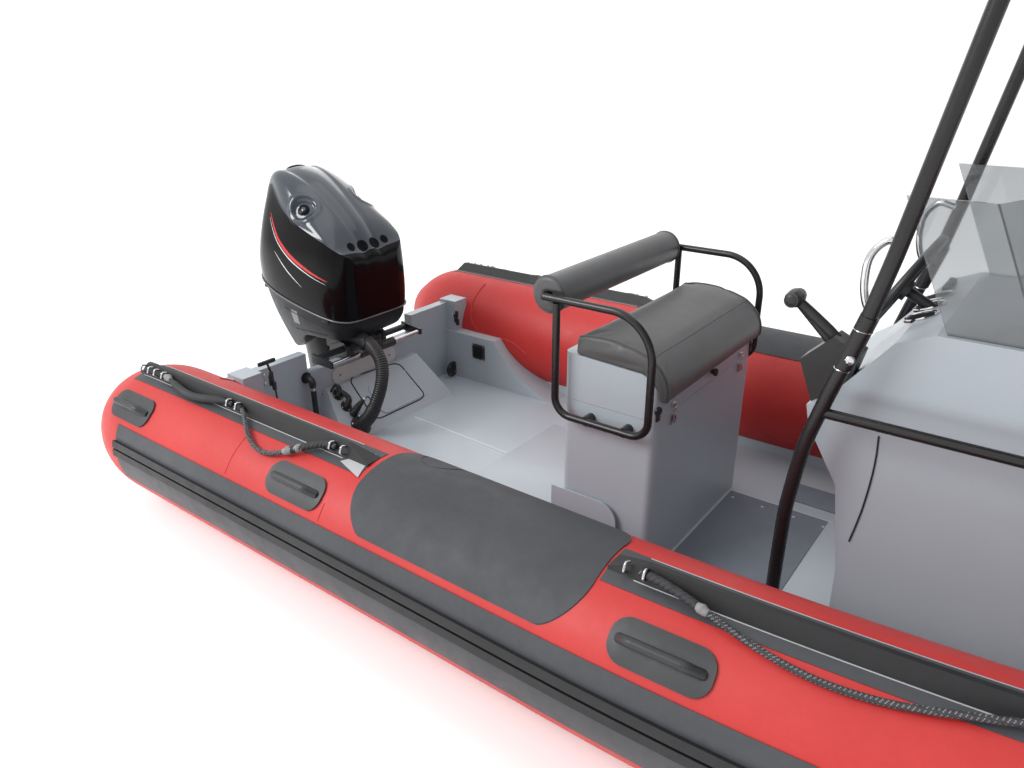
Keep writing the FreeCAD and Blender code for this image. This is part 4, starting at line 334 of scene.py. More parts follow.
def circle(across, up, sides, turned=0.0):
    """Ways round a ring of evenly spaced turns."""
    turns = (2 * math.pi * at / sides + turned for at in range(sides))
    return [across * math.cos(turn) + up * math.sin(turn) for turn in turns]


def mirrored(place):
    """The same place or way on the boat's other side."""
    return Vector((place.x, -place.y, place.z))


class Shape:
    """Collects points and faces of a piece made of several forms."""

    def __init__(self):
        self.points, self.faces = [], []

    def rings(self, rings, closed=True, caps=True):
        base, count = len(self.points), len(rings[0])
        for ring in rings:
            self.points += ring
        for row in range(len(rings) - 1):
            for at in range(count if closed else count - 1):
                a = base + row * count + at
                b = base + row * count + (at + 1) % count
                self.faces.append((a, b, b + count, a + count))
        if caps and closed:
            last = base + (len(rings) - 1) * count
            self.faces += [tuple(range(base, base + count))[::-1], tuple(range(last, last + count))]
        return self

    def tube(self, route, radius, sides=12, caps=True, flat=1.0):
        """A round bar along a route; radius may be a list, one for each point."""
        route = [Vector(point) for point in route]
        radii = radius if isinstance(radius, list) else [radius] * len(route)
        rings, normal = [], None
        for at, point in enumerate(route):
            way = (route[min(at + 1, len(route) - 1)] - route[max(at - 1, 0)]).normalized()
            if normal is None:
                normal = way.orthogonal().normalized()
            normal = (normal - way * normal.dot(way)).normalized()
            rings.append([point + one * radii[at] for one in circle(normal, way.cross(normal) * flat, sides)])
        return self.rings(rings, caps=caps)

    def drawn(self, target, rays, lift, radius, sides=6):
        """A thin round line on a piece's skin, left out where the rays miss the piece."""
        line = hits(target, rays, lift)
        return self.tube(line, radius, sides) if len(line) > 3 else self

    def lathe(self, centre, axis, profile, sides=24):
        """A turned form; profile lists (along, radius) from foot to tip."""
        axis = Vector(axis).normalized()
        normal = axis.orthogonal().normalized()
        ways = circle(normal, axis.cross(normal), sides)
        return self.rings([[Vector(centre) + axis * along + way * max(radius, 0.00002) for way in ways]
                           for along, radius in profile])

    def block(self, centre, size):
        half = Vector(size) / 2
        base = len(self.points)
        for z in (-1, 1):
            for x, y in ((-1, -1), (1, -1), (1, 1), (-1, 1)):
                self.points.append(Vector(centre) + Vector((x * half.x, y * half.y, z * half.z)))
        for face in ((3, 2, 1, 0), (4, 5, 6, 7), (0, 1, 5, 4), (1, 2, 6, 5), (2, 3, 7, 6), (3, 0, 4, 7)):
            self.faces.append(tuple(base + at for at in face))
        return self

    def make(self, name, materials, body="hull", sharp=40, bevel=None):
        obj = add_mesh(name, self.points, self.faces, materials, None, sharp)
        if bevel:
            modified(obj, "BEVEL", width=bevel, segments=3, limit_method="ANGLE", angle_limit=math.radians(35))
            obj.data.set_sharp_from_angle(angle=math.radians(50))
        if body is not None:
            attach(obj, body)
        return obj


def eased(rows, value):
    """A smooth reading between the rows of a table of (place, number)."""
    if value <= rows[0][0]:
        return rows[0][1]
    for at in range(len(rows) - 1):
        low, high = rows[at], rows[at + 1]
        if value <= high[0]:
            before, after = rows[max(at - 1, 0)], rows[min(at + 2, len(rows) - 1)]
            width = high[0] - low[0]
            slope_low = (high[1] - before[1]) / (high[0] - before[0]) * width
            slope_high = (after[1] - low[1]) / (after[0] - low[0]) * width
            s = (value - low[0]) / width
            s2, s3 = s * s, s ** 3
            return ((2 * s3 - 3 * s2 + 1) * low[1] + (s3 - 2 * s2 + s) * slope_low
                    + (3 * s2 - 2 * s3) * high[1] + (s3 - s2) * slope_high)
    return rows[-1][1]


def smooth_line(points, count):
    """Points spaced along a smooth line through the given ones."""
    points = [Vector(point) for point in points]
    places = [0.0]
    for a, b in zip(points, points[1:]):
        places.append(places[-1] + (b - a).length)
    rows = [[(place, point[axis]) for place, point in zip(places, points)] for axis in range(3)]
    return [Vector([eased(row, places[-1] * at / (count - 1)) for row in rows]) for at in range(count)]


TREES = {}


def surface_hit(name, start, way, reach=12.0):
    """Where a line meets a CAD node or a made piece: the point and its outward normal."""
    if name not in TREES:
        work = bmesh.new()
        work.from_mesh((nodes[name] if name in nodes else bpy.data.objects[name]).data)
        TREES[name] = BVHTree.FromBMesh(work)
        work.free()
    way = Vector(way).normalized()
    point, normal, _, _ = TREES[name].ray_cast(Vector(start), way, reach)
    if point is None:
        return None, None
    return point, -normal if normal.dot(way) > 0 else normal


def hits(target, rays, lift=0.0):
    """The places where lines meet a piece, lifted off its skin."""
    found = (surface_hit(target, start, way) for start, way in rays)
    return [point + normal * lift for point, normal in found if point is not None]


def pixel_ray(u, v):
    """The line of sight through a point of the picture."""
    place = scene.camera.matrix_world
    way = Vector(((u - PICTURE[0] / 2) / FOCAL_PIXELS, (PICTURE[1] / 2 - v) / FOCAL_PIXELS, -1.0))
    return place.translation.copy(), (place.to_3x3() @ way).normalized()


def seen_at(u, v, name):
    """The place on a piece, with its normal, that the picture's point shows."""
    return surface_hit(name, *pixel_ray(u, v))


# Motor cowl: tables of (x, number) along the cowl

COWL_TOP = [(-0.628, 0.742), (-0.618, 0.80), (-0.598, 0.88), (-0.562, 0.97), (-0.515, 1.06), (-0.475, 1.14),
            (-0.445, 1.20), (-0.418, 1.248), (-0.38, 1.272), (-0.33, 1.272), (-0.26, 1.252), (-0.19, 1.218),
            (-0.12, 1.172), (-0.06, 1.126), (0.0, 1.076), (0.04, 1.038), (0.08, 0.985), (0.10, 0.952),
            (0.12, 0.928), (0.135, 0.914), (0.142, 0.905)]
COWL_HALF = [(-0.628, 0.03), (-0.618, 0.062), (-0.598, 0.098), (-0.562, 0.142), (-0.515, 0.178),
             (-0.475, 0.200), (-0.42, 0.221), (-0.34, 0.240), (-0.25, 0.250), (-0.12, 0.255), (0.0, 0.252),
             (0.06, 0.243), (0.10, 0.226), (0.12, 0.207), (0.135, 0.180), (0.142, 0.150)]
CREST_Y = [(-0.628, 0.02), (-0.562, 0.09), (-0.515, 0.115), (-0.475, 0.125), (-0.43, 0.130), (-0.38, 0.148),
           (-0.33, 0.172), (-0.28, 0.195), (-0.22, 0.212), (-0.15, 0.222), (-0.06, 0.228), (0.03, 0.226),
           (0.08, 0.216), (0.10, 0.205), (0.12, 0.192), (0.135, 0.172), (0.142, 0.146)]
CREST_Z = [(-0.628, 0.738), (-0.562, 0.925), (-0.515, 1.02), (-0.475, 1.105), (-0.43, 1.19), (-0.38, 1.205),
           (-0.33, 1.168), (-0.28, 1.125), (-0.22, 1.088), (-0.15, 1.056), (-0.06, 1.024), (0.03, 0.995),
           (0.08, 0.966), (0.10, 0.952), (0.12, 0.936), (0.135, 0.922), (0.142, 0.908)]
RIDGE_Y = [(-0.628, 0.012), (-0.515, 0.07), (-0.43, 0.088), (-0.36, 0.100), (-0.25, 0.092), (-0.1, 0.077),
           (0.0, 0.070), (0.1, 0.060), (0.142, 0.056)]
SEAM_Z = [(-0.63, 0.738), (-0.5, 0.722), (-0.4, 0.704), (-0.3, 0.684), (-0.2, 0.665), (-0.1, 0.648),
          (0.0, 0.632), (0.08, 0.620), (0.142, 0.612)]
NOSE_X = 0.142
CREST_COLUMN = 5
FIRST_TOP_ROW = 7


def cowl_section(x):
    """Half of a cross-section, from the lower edge to the crown: (y, z)."""
    half, top, low = eased(COWL_HALF, x), eased(COWL_TOP, x), eased(SEAM_Z, x)
    crest_y, crest_z = eased(CREST_Y, x), eased(CREST_Z, x)
    ridge_y = min(eased(RIDGE_Y, x), crest_y * 0.62)
    rise, flank = crest_z - low, top - crest_z
    sweep = min(1.0, max(0.0, (x + 0.43) / 0.09)) * min(1.0, max(0.0, (0.135 - x) / 0.06))
    ridge_z = top - 0.010 - 0.004 * sweep
    groove = 0.006 * sweep
    return [
        (half * 0.955, low),
        (half * 0.985, low + rise * 0.12),
        (half, low + rise * 0.42),
        (half * 0.45 + crest_y * 0.55 + 0.002, low + rise * 0.78),
        (crest_y + 0.002, crest_z - rise * 0.03),
        (crest_y, crest_z),
        (crest_y - 0.006, crest_z + flank * 0.06 + 0.002),
        (crest_y * 0.945, crest_z + flank * 0.36),
        (crest_y * 0.66 + ridge_y * 0.34, crest_z + flank * 0.74 - groove * 0.3),
        (crest_y * 0.30 + ridge_y * 0.70, crest_z + flank * 0.92 - groove),
        (ridge_y, ridge_z + 0.006 * sweep),
        (ridge_y - 0.013, ridge_z - 0.001),
        (ridge_y * 0.45, top - 0.003),
        (0.0, top),
    ]


def make_cowl():
    rings = []
    for x, _ in COWL_TOP:
        half = cowl_section(x)
        rings.append([Vector((x, -y, z)) for y, z in half] + [Vector((x, y, z)) for y, z in reversed(half[:-1])])
    # The nose: rows drawn in over the flat front
    front = rings[-1]
    low, count = front[0].z, len(front)
    for share, push in ((0.95, 0.0030), (0.66, 0.0042), (0.30, 0.0046)):
        rings.append([Vector((NOSE_X + push, point.y * share, low + (point.z - low) * share)) for point in front])
    shape = Shape().rings(rings, closed=False)
    last = (len(rings) - 1) * count
    shape.faces += [tuple(range(last, last + count)), tuple(range(count))[::-1]]
    obj = add_mesh("cowl_shell", shape.points, shape.faces, ["motor_paint", "motor_top", "frame_tube"], None)
    crests = (CREST_COLUMN, count - 1 - CREST_COLUMN)
    for polygon in obj.data.polygons:
        columns = sorted({vertex % count for vertex in polygon.vertices})
        row = min(vertex // count for vertex in polygon.vertices)
        nose = min(obj.data.vertices[vertex].co.x for vertex in polygon.vertices) > NOSE_X - 0.0005
        on_top = len(columns) == 2 and crests[0] <= columns[0] and columns[1] <= crests[1]
        if on_top and FIRST_TOP_ROW <= row < len(COWL_TOP) - 3 and not nose:
            polygon.material_index = 1
    work = bmesh.new()
    work.from_mesh(obj.data)
    crease = work.edges.layers.float.new("crease_edge")
    for edge in work.edges:
        a, b = (vertex.index for vertex in edge.verts)
        if a % count == b % count and a % count in crests and FIRST_TOP_ROW <= min(a, b) // count:
            edge[crease] = 0.72
        if edge.is_boundary:
            edge[crease] = 1.0
    work.to_mesh(obj.data)
    work.free()
    modified(obj, "SUBSURF", levels=3, render_levels=3)
    carve_intake(obj)
    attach(obj, "motor")
    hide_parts("motor_cowl")


INTAKE = {}


def intake_move(far):
    """How far the skin moves out at a distance from an intake's middle."""
    if far > 0.058:
        return 0.005 * math.sin(math.pi * (0.085 - far) / 0.027) ** 2
    if far > 0.046:
        return -0.020 * (0.058 - far) / 0.012
    if far > 0.028:
        return -0.022
    return -0.022 + 0.012 * (1 - (far / 0.028) ** 2)


def carve_intake(obj):
    """A round dished air intake on each upper flank."""
    for side, _ in SIDES:
        start = Vector((-0.12, side * 0.6, 1.25))
        point, normal = INTAKE[side] = surface_hit(obj.name, start, Vector((-0.12, side * 0.18, 1.12)) - start)
        for vertex in obj.data.vertices:
            away = vertex.co - point
            lift = away.dot(normal)
            far = (away - normal * lift).length
            if abs(lift) <= 0.06 and far <= 0.085:
                vertex.co += normal * intake_move(far)
    TREES.clear()


# Lower cowl: (share of the rim's length, place on the foot)
PAN_LOW = [(0.0, (0.095, 0.0, 0.505)), (0.09, (0.092, 0.115, 0.505)), (0.17, (0.068, 0.185, 0.508)),
           (0.30, (-0.070, 0.204, 0.500)), (0.42, (-0.195, 0.192, 0.486)), (0.52, (-0.262, 0.158, 0.432)),
           (0.66, (-0.340, 0.122, 0.384)), (0.80, (-0.410, 0.092, 0.350)), (0.91, (-0.455, 0.050, 0.330)),
           (1.0, (-0.468, 0.0, 0.324))]
PAN_MIDDLE = Vector((0.2, 0, 0))


def make_pan():
    steps = 26
    rim = []
    for at in range(steps + 1):
        x = -0.243 + 0.385 * math.cos(math.pi * at / steps)
        y = eased(COWL_HALF, x) * 0.955 if 0 < at < steps else 0.0
        rim.append(Vector((x, y, eased(SEAM_Z, x))))
    rim[1].y = max(rim[1].y, 0.14)
    lengths = [0.0]
    for a, b in zip(rim, rim[1:]):
        lengths.append(lengths[-1] + (b - a).length)
    low_rows = [[(place, point[axis]) for place, point in PAN_LOW] for axis in range(3)]
    rings = []
    for share, drop, pull in ((0.0, 0.0, 0.0), (0.0, 0.004, 0.004), (0.10, 0.0, 0.002), (0.35, 0.0, -0.012),
                              (0.65, 0.0, -0.012), (0.90, 0.0, -0.004), (1.0, 0.0, 0.0)):
        half = []
        for length, point in zip(lengths, rim):
            now = point.lerp(Vector([eased(row, length / lengths[-1]) for row in low_rows]), share)
            out = Vector((now.x, now.y, 0)) + PAN_MIDDLE
            now -= out.normalized() * pull
            now.z -= drop
            half.append(now)
        rings.append([mirrored(point) for point in half] + half[-2:0:-1])
    rings.append([Vector((-0.2 + (point.x + 0.2) * 0.80, point.y * 0.80, point.z + 0.012)) for point in rings[-1]])
    shape = Shape().rings(rings)
    obj = add_mesh("motor_pan_skin", shape.points, shape.faces, "motor_grey", None)
    modified(obj, "SUBSURF", levels=2, render_levels=2)
    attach(obj, "motor")
    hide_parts("motor_pan")
    ring = [point + UP * 0.001 + (Vector((point.x, point.y, 0)) + PAN_MIDDLE).normalized() * 0.003
            for point in rings[0]]
    Shape().tube(ring + ring[:2], 0.0042, sides=8, caps=False).make("cowl_trim", "motor_trim", "motor")


def flank_line(line, count, side):
    """Lines from one side of the motor towards points (x, z) spaced along a smooth line."""
    return [((place.x, side * 0.7, place.z), (0, -side, 0))
            for place in smooth_line([(x, 0, z) for x, z in line], count)]


STRIPES = (
    ([(-0.345, 1.075), (-0.310, 1.020), (-0.265, 0.964), (-0.174, 0.900), (-0.053, 0.849), (0.063, 0.812)],
     0.017, "stripe_red"),
    ([(-0.350, 1.055), (-0.314, 0.999), (-0.268, 0.945), (-0.176, 0.882), (-0.053, 0.831), (0.055, 0.797)],
     0.006, "stripe_white"),
    ([(-0.300, 0.905), (-0.204, 0.825), (-0.105, 0.762)], 0.006, "stripe_white"),
)


def motor_stripes():
    """Plain sweeping lines on each flank of the cowl."""
    steps = 42
    for side, word in SIDES:
        for number, (line, wide, material) in enumerate(STRIPES):
            found = [surface_hit("cowl_shell", *ray) for ray in flank_line(line, steps, side)]
            points = []
            for at, (point, normal) in enumerate(found):
                way = found[min(at + 1, steps - 1)][0] - found[max(at - 1, 0)][0]
                width = wide * max(0.06, math.sin(math.pi * (0.04 + 0.93 * at / (steps - 1))) ** 0.8)
                across = normal.cross(way.normalized()).normalized() * width / 2
                points += [point + across + normal * 0.0006, point - across + normal * 0.0006]
            faces = [(at, at + 1, at + 3, at + 2) for at in range(0, 2 * steps - 2, 2)]
            add_mesh(f"cowl_stripe_{word}_{number}", points, faces, material, "motor")


def disc_on(name, point, normal, profile, material, body, sides=28):
    """A small turned fitting standing on a surface; profile lists (height, radius)."""
    return Shape().lathe(point, normal, profile, sides).make(name, material, body, sharp=35)


def draped_disc(name, target, point, normal, radius, material, body):
    """A thin round patch that follows the surface under it."""
    across = normal.orthogonal().normalized()
    rows = []
    for share in (1.0, 0.985, 0.8, 0.6, 0.4, 0.2, 0.02):
        row = []
        for way in circle(across, normal.cross(across), 28):
            start = point + way * radius * share
            hit, _ = surface_hit(target, start + normal * 0.04, -normal, 0.09)
            row.append((hit or start) + normal * (0.0007 if share < 1 else -0.0006))
        rows.append(row)
    Shape().rings(rows, caps=False).make(name, material, body, sharp=None)


def motor_details():
    """Intake caps, front dimples and hand hold with painted shade in their hollows, blank plate, step lines and
    latches.
    """
    for side, _ in SIDES:
        point, normal = INTAKE[side]
        disc_on(f"intake_cap_{side + 1}", point - normal * 0.021, normal,
                [(0, 0.027), (0.004, 0.0275), (0.007, 0.024), (0.0085, 0.014), (0.009, 0.0)], "motor_paint", "motor")
    # Dark discs draped over the front dimples: painted shade in the hollows.
    for at, (u, v, wide) in enumerate(((351.0, 247.0, 0.022), (362.4, 245.6, 0.029))):
        for side, _ in SIDES:
            place = seen_at(u, v, "cowl_shell")
            if side > 0:
                place = [mirrored(one) for one in place]
            draped_disc(f"front_dimple_{at}_{side + 1}", "cowl_shell", *place, wide, "dark_hole", "motor")
    steps = 12
    # The hand hold's slot: a flat dark lens on the crown, painted shade in the recess.
    line = hits("cowl_shell", [((-0.372, -0.052 + 0.104 * at / steps, 1.6), -UP) for at in range(steps + 1)], 0.0006)
    radii = [0.003 + 0.0045 * math.sin(math.pi * at / steps) ** 0.5 for at in range(steps + 1)]
    Shape().tube(line, radii, sides=8, flat=0.45).make("crown_slot", "dark_hole", "motor")
    rows = [hits("motor_pan_skin", [((-0.244 + 0.055 * at / 6, -0.6, 0.552 + 0.070 * step / 6), PORTWARD)
                                    for step in range(7)], 0.0008) for at in range(7)]
    Shape().rings(rows, closed=False).make("pan_plate", "label_grey", "motor", sharp=None)
    for side, word in SIDES:
        for number, line in enumerate(([(-0.30, 0.618), (-0.14, 0.600), (-0.031, 0.580), (0.060, 0.556)],
                                       [(-0.26, 0.512), (-0.12, 0.528), (0.0, 0.532)])):
            Shape().drawn("motor_pan_skin", flank_line(line, 24, side), 0.0, 0.0028
                          ).make(f"pan_step_{word}_{number}", "motor_grey", "motor")
    for side, _ in SIDES:
        for x in (-0.45, 0.02):
            for point in hits("motor_pan_skin", [((x, side * 0.7, eased(SEAM_Z, x) - 0.016), (0, -side, 0))]):
                Shape().block(point, (0.045, 0.007, 0.016)).make(f"cowl_latch_{side + 1}_{int(x * 100) + 50}",
                                                                 "motor_grey", "motor", bevel=0.0022)


make_cowl()
make_pan()
motor_stripes()
motor_details()


# Soft goods

def bent_copy(node, name, material):
    """A separate mesh with the shape of a CAD solid."""
    mesh = nodes[node].data.copy()
    mesh.name = name
    mesh.materials.clear()
    mesh.materials.append(M[material])
    work = bmesh.new()
    work.from_mesh(mesh)
    bmesh.ops.remove_doubles(work, verts=work.verts, dist=0.00002)
    bmesh.ops.dissolve_limit(work, angle_limit=math.radians(2), verts=work.verts, edges=work.edges)
    work.to_mesh(mesh)
    work.free()
    return placed(name, mesh)


def swollen(obj, rest, held, cap, pressure, bending):
    """Runs a cover's cloth under pressure; no point moves further than the cap."""
    obj.vertex_groups.new(name="held").add([at for at, place in enumerate(rest) if held(place)], 1.0, "REPLACE")
    cloth = obj.modifiers.new("cloth", "CLOTH")
    for key, value in (("quality", 4), ("tension_stiffness", 12), ("compression_stiffness", 12),
                       ("bending_stiffness", bending), ("use_pressure", True),
                       ("uniform_pressure_force", pressure), ("vertex_group_mass", "held")):
        setattr(cloth.settings, key, value)
    cloth.settings.effector_weights.gravity = 0.0
    cloth.collision_settings.use_collision = False
    for step in range(1, 21):
        scene.frame_set(step)
        bpy.context.view_layer.update()
    moved = obj.evaluated_get(bpy.context.evaluated_depsgraph_get())
    places = [vertex.co.copy() for vertex in moved.to_mesh().vertices]
    moved.to_mesh_clear()
    obj.modifiers.clear()
    obj.vertex_groups.clear()
    scene.frame_set(1)
    for vertex, place, home in zip(obj.data.vertices, places, rest):
        move = place - home
        vertex.co = home + (move.normalized() * cap if move.length > cap else move)


def stuffed(obj, voxel, held, pressure, bending):
    """Fills a cover: it swells under pressure and stays put where it is held."""
    modified(obj, "REMESH", mode="VOXEL", voxel_size=voxel)
    normals = [vertex.normal.copy() for vertex in obj.data.vertices]
    for vertex, normal in zip(obj.data.vertices, normals):
        if not held(vertex.co):
            vertex.co -= normal * 0.0025
    swollen(obj, [vertex.co.copy() for vertex in obj.data.vertices], held, 0.006, pressure, bending)
    modified(obj, "SMOOTH", factor=0.5, iterations=9)
    modified(obj, "SUBSURF", levels=1, render_levels=1)


def wrapped_line(name, target, rays, radius, material, body, sink):
    """A seam, groove or piping sunk into a surface by a share of its radius."""
    Shape().drawn(target, rays, radius * (1 - 2 * sink), radius, 8).make(name, material, body)


def round_rays(middle, y, reach, degrees, steps):
    """Lines towards a middle (x, z) from a turn around it, first and last angle in degrees."""
    rays = []
    for step in range(steps):
        turn = math.radians(degrees[0] + (degrees[1] - degrees[0]) * step / (steps - 1))
        way = Vector((math.cos(turn), 0, math.sin(turn)))
        rays.append((Vector((middle[0], y, middle[1])) + way * reach, -way))
    return rays


def make_cushion():
    obj = bent_copy("seat_cushion", "cushion", "upholstery")
    modified(obj, "BEVEL", width=0.026, segments=5, limit_method="ANGLE", angle_limit=math.radians(40))

    def held(place):
        return place.z < 0.849 and place.x < 1.775 or place.z < 0.753

    stuffed(obj, 0.0062, held, 1.6, 5.0)
    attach(obj, "seat_top")
    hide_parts("seat_cushion")
    for side, word in SIDES:
        wrapped_line(f"cushion_piping_{word}", "cushion", round_rays((1.69, 0.835), side * 0.393, 0.5, (172, -28), 64),
                     0.0034, "upholstery", "seat_top", 0.3)
    wrapped_line("cushion_seam_fore", "cushion", [((1.792, -0.392 + 0.784 * at / 40, 1.3), -UP) for at in range(41)],
                 0.0018, "upholstery", "seat_top", 0.45)


def make_roll():
    obj = bent_copy("backrest_roll", "roll", "upholstery")
    middle = (1.418, 1.036)

    def held(place):
        return Vector((place.x - middle[0], place.z - middle[1])).length < 0.034

    stuffed(obj, 0.0052, held, 4.0, 0.6)
    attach(obj, "hull")
    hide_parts("backrest_roll")
    for number, y in enumerate((-0.418, 0.418)):
        wrapped_line(f"roll_piping_{number}", "roll", round_rays(middle, y, 0.2, (0, 360), 49),
                     0.0030, "upholstery", "hull", 0.3)
    rays = [((middle[0] - 0.2, -0.41 + 0.82 * at / 50, middle[1] - 0.11), (0.876, 0, 0.482)) for at in range(51)]
    wrapped_line("roll_seam", "roll", rays, 0.0016, "upholstery", "hull", 0.4)


make_cushion()
make_roll()


# Cords

def cord_line(name, points, steps):
    """Close points along the smooth line of a cord's route."""
    curve = bpy.data.curves.new(name + "_line", "CURVE")
    curve.dimensions = "3D"
    curve.resolution_u = steps
    spline = curve.splines.new("NURBS")
    spline.points.add(len(points) - 1)
    for point, place in zip(spline.points, points):
        point.co = (*place, 1.0)
    spline.order_u = 3
    spline.use_endpoint_u = True
    obj = placed(name + "_line", curve)
    bpy.context.view_layer.update()
    mesh = bpy.data.meshes.new_from_object(obj)
    line = [vertex.co.copy() for vertex in mesh.vertices]
    bpy.data.objects.remove(obj)
    bpy.data.curves.remove(curve)
    bpy.data.meshes.remove(mesh)
    return line


def along(line):
    """Each point with its way, two directions across and the length so far."""
    rows, run, across = [], 0.0, None
    for at, point in enumerate(line):
        way = (line[min(at + 1, len(line) - 1)] - line[max(at - 1, 0)]).normalized()
        if across is None:
            across = way.orthogonal().normalized()
        across = (across - way * across.dot(way)).normalized()
        rows.append((point, way, across, way.cross(across), run))
        if at + 1 < len(line):
            run += (line[at + 1] - point).length
    return rows


def length_of(line):
    return sum((b - a).length for a, b in zip(line, line[1:]))


def part_of(line, low, high):
    """The points of a line between two shares of its length."""
    rows = along(line)
    return [row[0] for row in rows if low <= row[4] / rows[-1][4] <= high]


def cord_skin(name, line, sides, radius, materials, body="hull", pick=None):
    """A closed skin around a line; radius(length, turn, share) and pick give its form and slots."""
    rows = along(line)
    total = rows[-1][4]
    turns = [2 * math.pi * side / sides for side in range(sides)]
    form = radius if callable(radius) else lambda run, turn, share: radius
    shape = Shape().rings([[point + (across * math.cos(turn) + up * math.sin(turn)) * form(run, turn, run / total)
                            for turn in turns] for point, _, across, up, run in rows])
    obj = shape.make(name, materials, body, sharp=None)
    if pick:
        slots = [pick(row[4], turn + math.pi / sides) for row in rows[:-1] for turn in turns] + [0, 0]
        obj.data.polygons.foreach_set("material_index", slots)
    return obj


def declared(cord, points, line):
    """Reads the first point, the length and the route of a free cord whose far end goes back into the boat."""
    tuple(points[0])
    length_of(line)
    [tuple(point) for point in line]


def wave(run, pitch):
    """A ripple along a length, from -1 to 1."""
    return math.cos(2 * math.pi * run / pitch)


def strand(pitch, count, full, deep):
    """Radius of a laid rope whose strands wind round it."""
    def radius(run, turn, share):
        phase = count / 2 * (turn + 2 * math.pi * run / pitch)
        return full * (1 - deep + deep * abs(math.cos(phase)) ** 0.7)
    return radius


def flecked(pitch, count, share):
    """Picks the light yarn that winds along each strand."""
    def pick(run, turn):
        phase = (count * (turn + 2 * math.pi * run / pitch) / (2 * math.pi)) % 1.0
        return 1 if phase < share else 0
    return pick


def swelling(full, low, ends, ribs, deep):
    """Radius of a cover drawn over a rope, narrow at its ends and ribbed."""
    def radius(run, turn, share):
        edge = min(1.0, min(share, 1 - share) / ends)
        edge = edge * edge * (3 - 2 * edge)
        return low + (full - low) * edge + deep * edge * math.cos(2 * math.pi * run / ribs + turn)
    return radius


def whipping(name, line, low, high):
    """Tight turns of thin cord around a rope."""
    rows = along(part_of(line, low, high))
    total, wire, steps = rows[-1][4], 0.0022, 12
    count = max(3, int(total / (2 * wire))) * steps
    route = []
    for at in range(count + 1):
        place = total * at / count
        row = min(rows, key=lambda one: abs(one[4] - place))
        turn = 2 * math.pi * at / steps
        out = row[2] * math.cos(turn) + row[3] * math.sin(turn)
        route.append(row[0] + row[1] * (place - row[4]) + out * 0.0100)
    return Shape().tube(route, wire, sides=6).make(name, "rope_sleeve")


LINE_AFT = [(-0.031, -1.0311, 0.5938), (0.001, -1.0318, 0.5958), (0.0284, -1.0372, 0.5955),
            (0.0718, -1.0447, 0.5902), (0.1152, -1.0520, 0.5838), (0.1586, -1.0571, 0.5788),
            (0.202, -1.0590, 0.5770), (0.2454, -1.0571, 0.5788), (0.2888, -1.0520, 0.5838),
            (0.3322, -1.0447, 0.5902), (0.3756, -1.0370, 0.5950), (0.403, -1.0316, 0.5950), (0.435, -1.0311, 0.5938)]
LINE_MIDDLE = [(0.457, -1.0311, 0.5938), (0.489, -1.0311, 0.5938), (0.524, -1.0483, 0.5871),
               (0.575, -1.0779, 0.5725), (0.626, -1.1062, 0.5542), (0.677, -1.1254, 0.5388),
               (0.728, -1.1321, 0.5328), (0.779, -1.1265, 0.5400), (0.83, -1.1080, 0.5565),
               (0.881, -1.0800, 0.5755), (0.932, -1.0500, 0.5905), (0.967, -1.0318, 0.5955), (0.999, -1.0311, 0.5938)]
LINE_FORE = [(2.1147, -1.0295, 0.5944), (2.1465, -1.0300, 0.5975), (2.2225, -1.0420, 0.5935),
             (2.3149, -1.0605, 0.5815), (2.4076, -1.0781, 0.5677), (2.5004, -1.0892, 0.5584),
             (2.5929, -1.0903, 0.556), (2.6847, -1.0804, 0.5621), (2.7757, -1.0605, 0.5751),
             (2.8659, -1.0336, 0.5907), (2.9558, -1.0056, 0.6044), (3.0304, -0.9874, 0.6122),
            (3.0623, -0.9849, 0.6132)]
# Route, steps, covers (tag, first and last share of the length, radius, material) and the whipping's shares
LINES = {
    "aft": (LINE_AFT, 18, (
        ("lump", 0.05, 0.155, swelling(0.0150, 0.0100, 0.5, 0.03, 0.0010), "rope_tape"),
        ("sleeve", 0.17, 0.92, swelling(0.0150, 0.0098, 0.16, 0.0062, 0.0005), "rope_sleeve")), None),
    "middle": (LINE_MIDDLE, 22, (
        ("splice", 0.70, 0.965, strand(0.046, 3, 0.0128, 0.24), "rope_black"),
        ("lump", 0.665, 0.735, swelling(0.0155, 0.0098, 0.5, 0.02, 0.0012), "rope_tape"),
        ("lump_two", 0.74, 0.79, swelling(0.0140, 0.0115, 0.5, 0.02, 0.0010), "rope_tape")), (0.03, 0.075)),
    "fore": (LINE_FORE, 34, (
        ("splice", 0.025, 0.17, strand(0.046, 3, 0.0125, 0.24), "rope_black"),
        ("lump", 0.165, 0.205, swelling(0.0135, 0.0098, 0.5, 0.02, 0.0010), "rope_tape")), (0.955, 0.985)),
}


def make_lines():
    """The lifelines, each with the covers and whipping on it."""
    for word, (route, steps, covers, whipped) in LINES.items():
        for sign, side in SIDES:
            name = f"line_{word}_{side}"
            points = [(x, -sign * y, z) for x, y, z in route]
            line = cord_line(name, points, steps)
            rope = cord_skin(name + "_rope", line, 16, strand(0.030, 3, 0.0087, 0.17), ["rope_black", "rope_fleck"],
                             pick=flecked(0.030, 3, 0.16))
            extra = [cord_skin(f"{name}_{tag}", part_of(line, low, high), 20, skin, [material])
                     for tag, low, high, skin, material in covers]
            if whipped:
                extra.append(whipping(name + "_whipping", line, *whipped))
            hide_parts(name)
            declared(rope, points, line)


